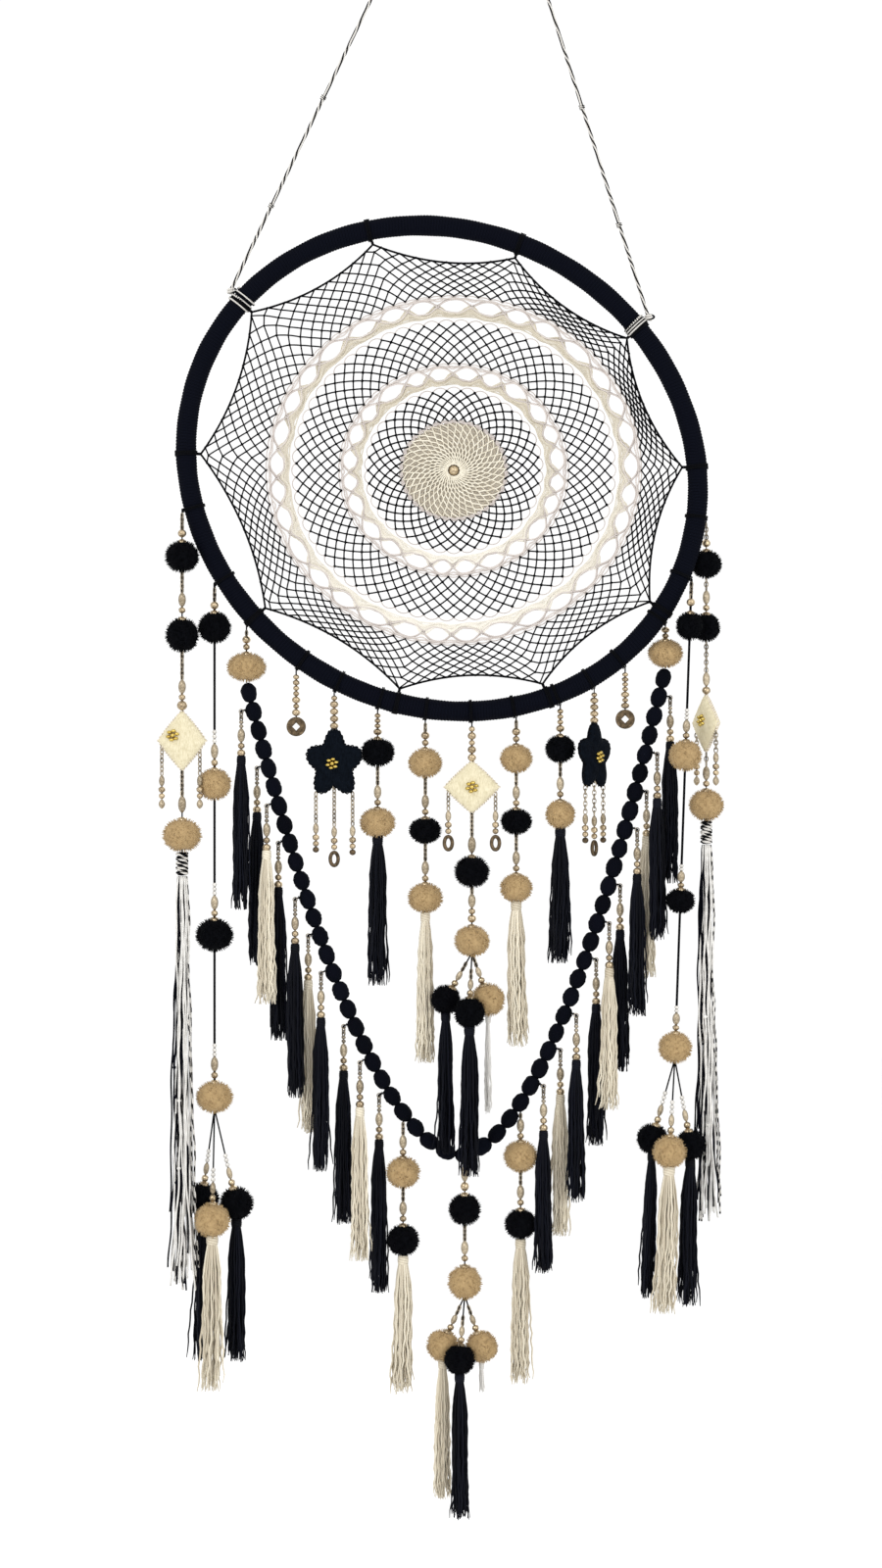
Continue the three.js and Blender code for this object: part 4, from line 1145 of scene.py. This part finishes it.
STRINGS = {
    "string_01": dict(run=[beads(4, 22, "cg"), wool(36.5, 12.6, 12, "b"), beads(48, 80),
                           wool(96.5, 12.4, 13, "b"), beads(108, 154, "corG"), beads(200, 232, "cO"),
                           wool(249, 14.4, 12.6, "t"), ("wrap", 262, 280, 4.9)],
                      end=280, diamond=(177, 18, 22.5), flower=(-7, 4),
                      danglers=[(-15.5, 4, 52, "shell"), (13.5, 6, 52, "shell")]),
    "string_02": dict(run=[beads(4, 20, "cg"), wool(33.8, 12.2, 12, "b"), beads(112, 140, "wwwor"),
                           wool(153.8, 12.4, 12, "t"), beads(229, 255, "wwwor"), wool(269, 14, 12.5, "b"),
                           beads(352, 379, "wwwor"), wool(393, 13.6, 12, "t")],
                      end=405, cords=True,
                      bunch=[(-10, 472, 12.6, 8, 596, 7, "b", "b"), (-1, 486, 13, -13, 616, 9, "t", "c"),
                             (16.5, 475, 12.6, 5, 596, 8, "b", "b")]),
    "string_03": dict(run=[beads(4, 19, "cgr"), wool(32, 14.6, 11, "t")], end=44),
    "string_04": dict(run=[beads(4, 36, "brbbgbg")], end=39, coin=44),
    "string_05": dict(run=[beads(3, 29, "bgggg")], end=50, star=55, flower=(-1.5, 0),
                      danglers=[(-14, 22, 68, "ball"), (0, 13, 79, "donut"), (14, 22, 70, "ball")]),
    "string_06": dict(run=[beads(3, 20, "bbbg"), wool(33, 12.6, 11, "b"), beads(44, 74),
                           wool(87, 13.2, 11.4, "t"), silk(98, 212, 8, "b")], end=0),
    "string_07": dict(run=[beads(3, 20, "cgr"), wool(33, 12.6, 11.3, "t"), beads(44, 73),
                           wool(84.8, 12, 10, "b"), beads(95, 124), wool(136.5, 13, 11.4, "t"),
                           silk(149, 263, 7, "c")], end=0),
    "string_08": dict(run=[beads(3, 30, "bgbgg"), beads(68, 100, "cO"), wool(114, 13, 12, "b"),
                           beads(126, 153, "corg"), wool(167, 13, 11.8, "t")],
                      end=179, diamond=(49.5, 20.6, 19.5), flower=(0, 0),
                      danglers=[(-18, 4, 49, "donut"), (18, 4, 49, "donut")],
                      bunch=[(-20, 212, 11, 5.5, 331, 7, "b", "b"), (-2, 221, 11.6, -11, 346, 8, "b", "b"),
                             (12.4, 212, 12.4, 5.5, 300, 3, "t", "w")]),
    "string_09": dict(run=[beads(3, 19, "cgr"), wool(31.5, 12, 10.8, "t"), beads(42, 68),
                           wool(79.5, 11.6, 10, "b"), beads(89, 118), wool(130.5, 12, 11, "t"),
                           silk(142, 252, 8, "c")], end=0),
    "string_10": dict(run=[beads(3, 21, "bbbg"), wool(33.8, 11.2, 10.6, "b"), beads(44, 71),
                           wool(84, 11, 11, "t"), silk(95.5, 198, 8, "b")], end=0),
    "string_11": dict(run=[beads(3, 27, "bgggg")], end=48, turn=55, star=52.5, flower=(0, 0),
                      danglers=[(-12.6, 22, 66, "ball"), (0, 13, 76, "donut"), (12.6, 22, 66, "ball")]),
    "string_12": dict(run=[beads(4, 32, "brbbgbg")], end=35, coin=40),
    "string_13": dict(run=[beads(2, 11, "gr"), wool(22.5, 13, 10.8, "t")], end=34),
    "string_14": dict(run=[beads(3, 21, "cg"), wool(36, 10.4, 10.6, "b"), beads(99, 122, "wwwor"),
                           wool(135, 12.2, 11.6, "t"), beads(218, 236, "wwor"), wool(246, 11, 9.4, "b"),
                           beads(326, 345, "wwor"), wool(358, 12.4, 11.8, "t")],
                      end=370, lean=2, cords=True,
                      bunch=[(-14.6, 429, 11.6, 8, 551, 6, "b", "b"), (-2, 437, 12.4, -9, 560, 9, "t", "c"),
                             (14.5, 432, 11.4, 1, 555, 7.5, "b", "b")]),
    "string_15": dict(run=[beads(3, 21, "cg"), wool(34, 11.4, 10.8, "b"), beads(45, 70),
                           wool(82.5, 10.4, 10.8, "b"), beads(93, 134, "cog"), beads(178, 205),
                           wool(219, 12.8, 12, "t"), ("wrap", 231, 249, 4.6)],
                      end=249, turn=-62, diamond=(156, 18, 21.8), flower=(0, 2),
                      danglers=[(-14, 5, 48, "shell"), (14, 5, 48, "shell")]),
}
SWAG_STRINGS = {
    "swag_string_left": dict(run=[beads(1, 26, "cor"), wool(39, 12.6, 12, "t"), beads(50, 77),
                                  wool(91, 12, 12, "b"), silk(104, 209, 8, "c")], end=0),
    "swag_string_middle": dict(run=[beads(1, 21, "og"), wool(35, 12, 12, "b"), beads(47, 75),
                                    wool(91, 12.6, 13, "t")], end=104,
                               bunch=[(-17, 140, 12, 5, 258, 6.5, "t", "c"),
                                      (-4, 149, 11.6, -10, 271, 7.5, "b", "b"),
                                      (13, 141, 12, 5, 176, 3, "t", "w")]),
    "swag_string_right": dict(run=[beads(1, 21, "cor"), wool(34, 12.6, 12, "t"), beads(45, 72),
                                   wool(86, 11.8, 11.6, "b"), silk(99, 209, 8, "c")], end=0),
}


def branch(parts, named, start, spec, corded, label):
    """One strand of a bunch: cord or chain out to its pompom, and a tassel below that."""
    aside, drop, radius, back, stop, wide, colour, tail = spec
    origin, middle = np.array([0, 0, -start]), np.array([aside, back, -drop])
    reach = float(np.linalg.norm(middle - origin))
    own = {}
    run_start = reach - radius - (27 if corded else 22)
    bead_run(own, max(1, run_start), reach - radius - 1, "wwwsr" if corded else "csr")
    own.setdefault("gold", []).append(cap(reach - radius - 1.5))
    t = np.linspace(0, 1, 14)[:, None]
    own["black_thread"] = [yarns((DOWN * (reach - radius) * t)[None], 0.62, 6)]
    tilt = basis(middle - origin) @ np.diag([1, -1, -1])
    for finish, shapes in own.items():
        parts.setdefault(finish, []).extend(moved(s, origin, matrix=tilt) for s in shapes)
    at = np.array([aside, back, 0])
    named[f"{label}_pompom"] = ([moved(pompom(drop, radius, radius), at)], WOOL[colour],
                                WOOL_SLOT[colour])
    fine = tail == "w"
    bundle = tassel(drop + radius - 1.5, stop, wide, 18 if fine else 50, 0.5 if fine else 0.72,
                    curl=CURL[tail])
    named[f"{label}_tassel"] = ([moved(s, at) for s in bundle], SILK[tail], SILK_SLOT[tail])


def yarn_wrap(start, stop, radius):
    """A black and white cord wound closely down a core, its turns a little askew."""
    turns = (stop - start) / 2.15
    spin = np.linspace(0, TURN * turns, int(26 * turns))
    level = -start - 1 - (stop - start - 2) * spin / spin[-1] + 0.5 * np.sin(spin * 0.5)
    path = np.stack([radius * 0.8 * np.cos(spin), radius * 0.8 * np.sin(spin), level], -1)
    return [yarns(path[None], 1.08, 8, aside=(0, 0, 1), plies=2, pitch=10.5, depth=0.1),
            moved(turned([(0.5, 0), (radius * 0.7, -0.3), (radius * 0.7, start - stop + 0.3),
                          (0.5, start - stop)], 12, shade=0.0), (0, 0, -start))]


def hang_run(parts, named, run):
    """Makes what is threaded on a string, from its tie down."""
    count = 0
    for kind, *sizes in run:
        if kind == "beads":
            bead_run(parts, *sizes)
        elif kind == "pompom":
            count += 1
            middle, radius, half, colour = sizes
            named[f"pompom_{count}"] = ([pompom(middle, radius, half)], WOOL[colour], WOOL_SLOT[colour])
            parts.setdefault("gold", []).append(cap(middle - half - 1.2))
        elif kind == "tassel":
            start, stop, radius, colour = sizes
            strands = tassel(start - 1.5, stop, radius, curl=CURL[colour])
            named["tassel"] = (strands, SILK[colour], SILK_SLOT[colour])
        else:
            named["wrap"] = (yarn_wrap(*sizes), "striped_cord", "striped_cord")


CHARMS = {  # cloth, seam thread, thickness
    "star": ("black_felt", "black_thread", 9.0),
    "diamond": ("ivory_felt", "cream_cotton", 8.5),
}


def hang_charm(parts, named, label, outline, drop, spec):
    """A stuffed charm with the seam round its edge, its flower and its danglers."""
    cloth, thread, thick = CHARMS[label]
    shift = (0, 0, -drop)
    named[label] = ([stuffed(outline, thick, shift)], cloth, cloth)
    named[label + "_seam"] = ([stitched_edge(outline, shift)], thread, thread)
    x, z = spec["flower"]
    named["flower"] = (flower(np.array([x, -thick / 2 - 0.2, z - drop])), "bright_gold", "gold_bead")
    for x, top, bottom, end in spec["danglers"]:
        dangler(parts, x, drop + top, drop + bottom, end)


def make_string(name, tie, body, spec):
    """Makes a string's pieces in its own frame, then turns, leans and moves them to the tie."""
    parts, named = {}, {}
    hang_run(parts, named, spec["run"])
    thread_end = max([spec["end"]] + [item[2] if item[0] == "beads" else item[1] for item in spec["run"]])
    thick = 0.5 if "cords" in spec else 0.3
    plies = 0.9 * thick * np.array([[1, 0, 0], [-1, 0, 0]])[:, None]
    line = DOWN * thread_end * np.linspace(0, 1, 40)[:, None]
    parts["black_thread"] = [yarns(line[None] + plies, thick, 6)]
    if "coin" in spec:
        named["coin"] = ([coin(spec["coin"])], "bronze", "bronze")
    if "star" in spec:
        hang_charm(parts, named, "star", star_outline(STAR_R), spec["star"], spec)
    if "diamond" in spec:
        drop, half_width, half_height = spec["diamond"]
        hang_charm(parts, named, "diamond", diamond_outline(half_width, half_height), drop, spec)
    for i, item in enumerate(spec.get("bunch", ())):
        branch(parts, named, spec["end"] - 3, item, "cords" in spec, "bunch_" + "abc"[i])
    for finish, shapes in parts.items():
        label = finish.replace("black_", "").replace("_bead", "") + ("s" if "bead" in finish else "")
        named[label] = (shapes, finish, SLOTS[finish])
    turn, lean = math.radians(spec.get("turn", 0)), math.radians(spec.get("lean", 0))
    for label, (shapes, finish, slot) in named.items():
        placed = [moved(moved(s, turn=turn), tie, lean=lean) for s in shapes]
        piece = make(f"{name}_{label}", placed, finish, body, [name] if label == "thread" else ())


def make_yarn_tassel(side, string, drop, length, radii):
    """Long black and white yarns from a wrapped head: each sways down its own line, and they leave the
    bundle in groups towards the ends, with small knots in some."""
    skins = {"striped_cord": [], "black_yarn": [], "white_cotton": []}
    turns = ("black_yarn", "white_cotton", "black_yarn", "white_cotton", "striped_cord")
    top = TIES[string] + DOWN * drop
    count, rows = 38, 80
    t = np.linspace(0, 1, rows)[None]
    spin = np.arange(count) * GOLDEN_TURN
    reach = np.sqrt((np.arange(count) + 0.5) / count)[:, None]
    short = draw.random((count, 1)) < 0.3
    ends = 0.7 + 0.22 * draw.random((count, 1)), 0.93 + 0.07 * draw.random((count, 1))
    stop = length * np.where(short, *ends)
    level = stop * t
    part = level / length
    wide = radii[0] * 0.75 + (radii[1] * 0.8 - radii[0] * 0.75) * part ** 0.45
    group = np.arange(count) % 6
    phase = (draw.random((6, 1))[group] + 0.1 * draw.normal(size=(count, 1))) * TURN
    leave = np.linspace(-1, 1, 6)[group, None] * np.array([7.5, 3.0])
    sway = 1.2 * np.sin(TURN * 1.5 * part + phase) * np.minimum(1, level / 40)
    waves = (5 + 3 * draw.random((count, 1))) * part
    curl = 0.45 * np.sin(TURN * waves + 2 * phase) * np.minimum(1, level / 30)
    aside = reach * wide * np.cos(spin)[:, None] + sway + curl + leave[:, :1] * part ** 2.5
    back = (reach * wide * 0.8 * np.sin(spin)[:, None] + 0.6 * sway - curl
            + 0.5 * leave[:, 1:] * part ** 2.5)
    paths = np.stack([aside, back, -level], -1) + top
    for i in range(count):
        finish = turns[i % 5]
        radius = 0.8 if finish == "striped_cord" else 0.72
        skins[finish].append(yarns(paths[i:i + 1], radius, 6, plies=2, pitch=6, depth=0.15))
        if i % 4 == 0:
            at = paths[i, int(rows * (0.5 + 0.4 * draw.random()))]
            skins[finish].append(moved(ball(1.5, 1.4, 7, 10, 0.1), at))
    for finish, shapes in skins.items():
        stands_for = ["yarn_tassel_" + side] if finish == "striped_cord" else ()
        make(f"yarn_{side}_{finish}", shapes, finish, string, stands_for)


def swag_point(share):
    """Place on the swag by its share from left to right: across evenly, and down by a power of how far
    it is from the lowest bead."""
    left, right = SWAG_ENDS
    low = left[2] - SWAG_DROP
    reach = np.where(share < SWAG_LOW, (SWAG_LOW - share) / SWAG_LOW, (share - SWAG_LOW) / (1 - SWAG_LOW))
    top = np.where(share < SWAG_LOW, left[2], right[2])
    return np.stack([left[0] + (right[0] - left[0]) * share, SWAG_Y + 0 * share,
                     low + (top - low) * reach ** SWAG_POWER], -1)


def swag_at(part):
    """Place and direction at a part of the swag's length."""
    share = np.linspace(0, 1, 1601)
    line = swag_point(share)
    along = np.concatenate([[0], np.cumsum(np.linalg.norm(np.diff(line, axis=0), axis=1))])
    found = np.interp(np.asarray(part) * along[-1], along, share)
    ahead = swag_point(np.minimum(found + 0.001, 1)) - swag_point(np.maximum(found - 0.001, 0))
    return swag_point(found), unit(ahead)


def make_swag():
    """Cloth-covered beads along a cord: each a profile turned round it, gathered in folds towards its ends,
    with a disc at either side."""
    parts = (np.arange(SWAG_BEADS) + 0.5) / SWAG_BEADS
    middles, directions = swag_at(parts)
    covers = []
    t = np.linspace(-1, 1, 13)
    wide = 1.1 * SWAG_BEAD_R * (0.27 + 0.73 * np.maximum(0, 1 - np.abs(t) ** 2.1) ** 0.62)
    turn = np.arange(20) * TURN / 20
    for middle, direction in zip(middles, directions):
        size = 1 + 0.06 * (draw.random(3) - 0.5)
        folds = (1 + 0.07 * np.abs(t[:, None]) ** 2 * np.cos(8 * turn + draw.random() * 6)
                 + 0.025 * draw.normal(size=(13, 1)) + 0.02 * np.sin(2 * turn + draw.random() * 6))
        radius = wide[:, None] * folds
        height = np.broadcast_to(SWAG_BEAD_HALF * size[2] * t[:, None], folds.shape)
        rings = np.stack([radius * np.cos(turn) * size[0], radius * np.sin(turn) * size[1], height], -1)[None]
        shape = skin(rings, rings, np.full(rings.shape[:3], draw.random()))
        wobble = direction + 0.05 * draw.normal(size=3)
        covers.append(moved(shape, middle, matrix=basis(wobble)))
        for end in (-6.7, 6.7):
            covers.append(moved(turned([(1.6, 0.9), (2.3, 0.5), (2.3, -0.5), (1.6, -0.9)], 12),
                                middle + direction * end, matrix=basis(direction)))
    make("swag_beads", covers, "black_cloth", "swag", ["swag"])
    line, _ = swag_at(np.linspace(0, 1, 240))
    make("swag_cord", [yarns(line[None], 1.1, 8, plies=2, pitch=4)], "black_thread", "swag")


def make_swag_ties():
    """A knotted thread from the swag's cord to each tassel's ring, with its cut ends standing out."""
    line = swag_at(np.linspace(0, 1, 900))[0]
    paths, tufts, knots = [], [], []
    t = np.linspace(0, 1, 9)[:, None]
    for name in (f"swag_tassel_{side}_{i:02d}" for side in SIDES for i in range(1, 11)):
        ring = JOINTS[name]
        start = line[np.argmin(np.linalg.norm(line - ring, axis=1))]
        for bow in (-0.5, 0.5):
            bulge = bow * np.sin(math.pi * t) * np.array([0, 1, 0.4])
            paths.append(start * (1 - t) + (ring + (0, 0, 0.6)) * t + bulge)
        knots.append(moved(ball(1.1, 1.1, 5, 8), ring))
        knot = start + (ring - start) * 0.7
        for _ in range(5):
            out = unit(np.array([0, 0, 0.5]) + draw.normal(size=3) * (1, 0.6, 1))
            tufts.append(knot + out * np.linspace(0, 2.0, 4)[:, None])
    ends = np.array([[0.3, 0.3, 0.24, 0.12]])
    ties = [yarns(np.stack(paths), 0.5, 5), yarns(np.stack(tufts), ends, 4, aside=(0.3, 0.9, 0.2)), *knots]
    make("swag_ties", ties, "black_thread", "swag")


def make_swag_tassels():
    """Ten tassels on each side, every third one cream, each under a ring, a chain and its beads."""
    loop = np.arange(20) * TURN / 20
    circle = np.stack([1.6 * np.cos(loop), 0 * loop, 1.6 * np.sin(loop)], -1)
    for side, length in (("left", 152), ("right", 143)):
        for i, tail in enumerate("bbcbbcbbcb"):
            name = f"swag_tassel_{side}_{i + 1:02d}"
            pivot = JOINTS[name]
            parts = {}
            bead_run(parts, 1, 35, "ccttorg")
            parts["chain"] = parts.get("chain", []) + [yarns(circle[None], 0.4, 5, loop=True), chain(1.5, 5)]
            strands = [moved(s, pivot) for s in tassel(34, length, 6.4, 52, 0.72, 1.15, curl=CURL[tail])]
            make(f"{name}_silk", strands, SILK[tail], name, [name])
            for finish, shapes in parts.items():
                make(f"{name}_{finish.replace('_bead', '')}", [moved(s, pivot) for s in shapes], finish, name)


def make_loops():
    """The loops that tie the strings to the hoop."""
    for name, tie in TIES.items():
        offset = tie - HOOP_MIDDLE
        angle = math.degrees(math.atan2(offset[2], offset[0])) % 360
        centre = hoop_point(angle)
        out = math.hypot(offset[0], offset[2]) - math.hypot(centre[0], centre[2])
        route, ahead = round_hoop(angle, WRAP_R + 0.8, out, 2.0, 2.4, offset[1])
        loop = [yarns(route[None], 0.6, 6, aside=ahead)]
        make(name + "_loop", loop, "black_thread", "hoop")


def make_floor():
    """A wide flat sheet well below the object, in metres."""
    mesh = bpy.data.meshes.new("floor")
    mesh.from_pydata([(-9, -9, FLOOR_LEVEL), (9, -9, FLOOR_LEVEL), (9, 9, FLOOR_LEVEL), (-9, 9, FLOOR_LEVEL)],
                     [], [(0, 1, 2, 3)])
    mesh.materials.append(FINISHES["floor"])
    floor = bpy.data.objects.new("floor", mesh)
    bpy.context.scene.collection.objects.link(floor)


# --- Where the strings are tied, and the whole object. ---
JOINTS = {joint["child"]: np.array(joint["pos_m"]) / MM for joint in frame["record"]["behaviour"]["joints"]}
TIES = {name: JOINTS[name] for name in STRINGS if name in JOINTS}
SWAG_TIES = {"string_03": 218.6, "string_13": 325.3}
for string, place in SWAG_TIES.items():
    TIES[string] = hoop_point(place, WRAP_R + 2 * GAP, SWAG_Y) + HOOP_MIDDLE
SWAG_ENDS = [TIES[string] + DOWN * (STRINGS[string]["end"] + GAP) for string in SWAG_TIES]

make_hoop()
for each_side in SIDES:
    make_lashing(each_side)
make_nets()
make_lace()
make_mandala()
make_swag()
make_swag_ties()
make_swag_tassels()
for string, details in STRINGS.items():
    make_string(string, TIES[string], "swag" if string in SWAG_TIES else string, details)
for string, details in SWAG_STRINGS.items():
    make_string(string, JOINTS[string], string, details)
make_yarn_tassel("left", "string_01", 280.5, 318, (4.6, 9.5))
make_yarn_tassel("right", "string_15", 249.5, 290, (4.4, 8.8))
make_loops()
make_floor()
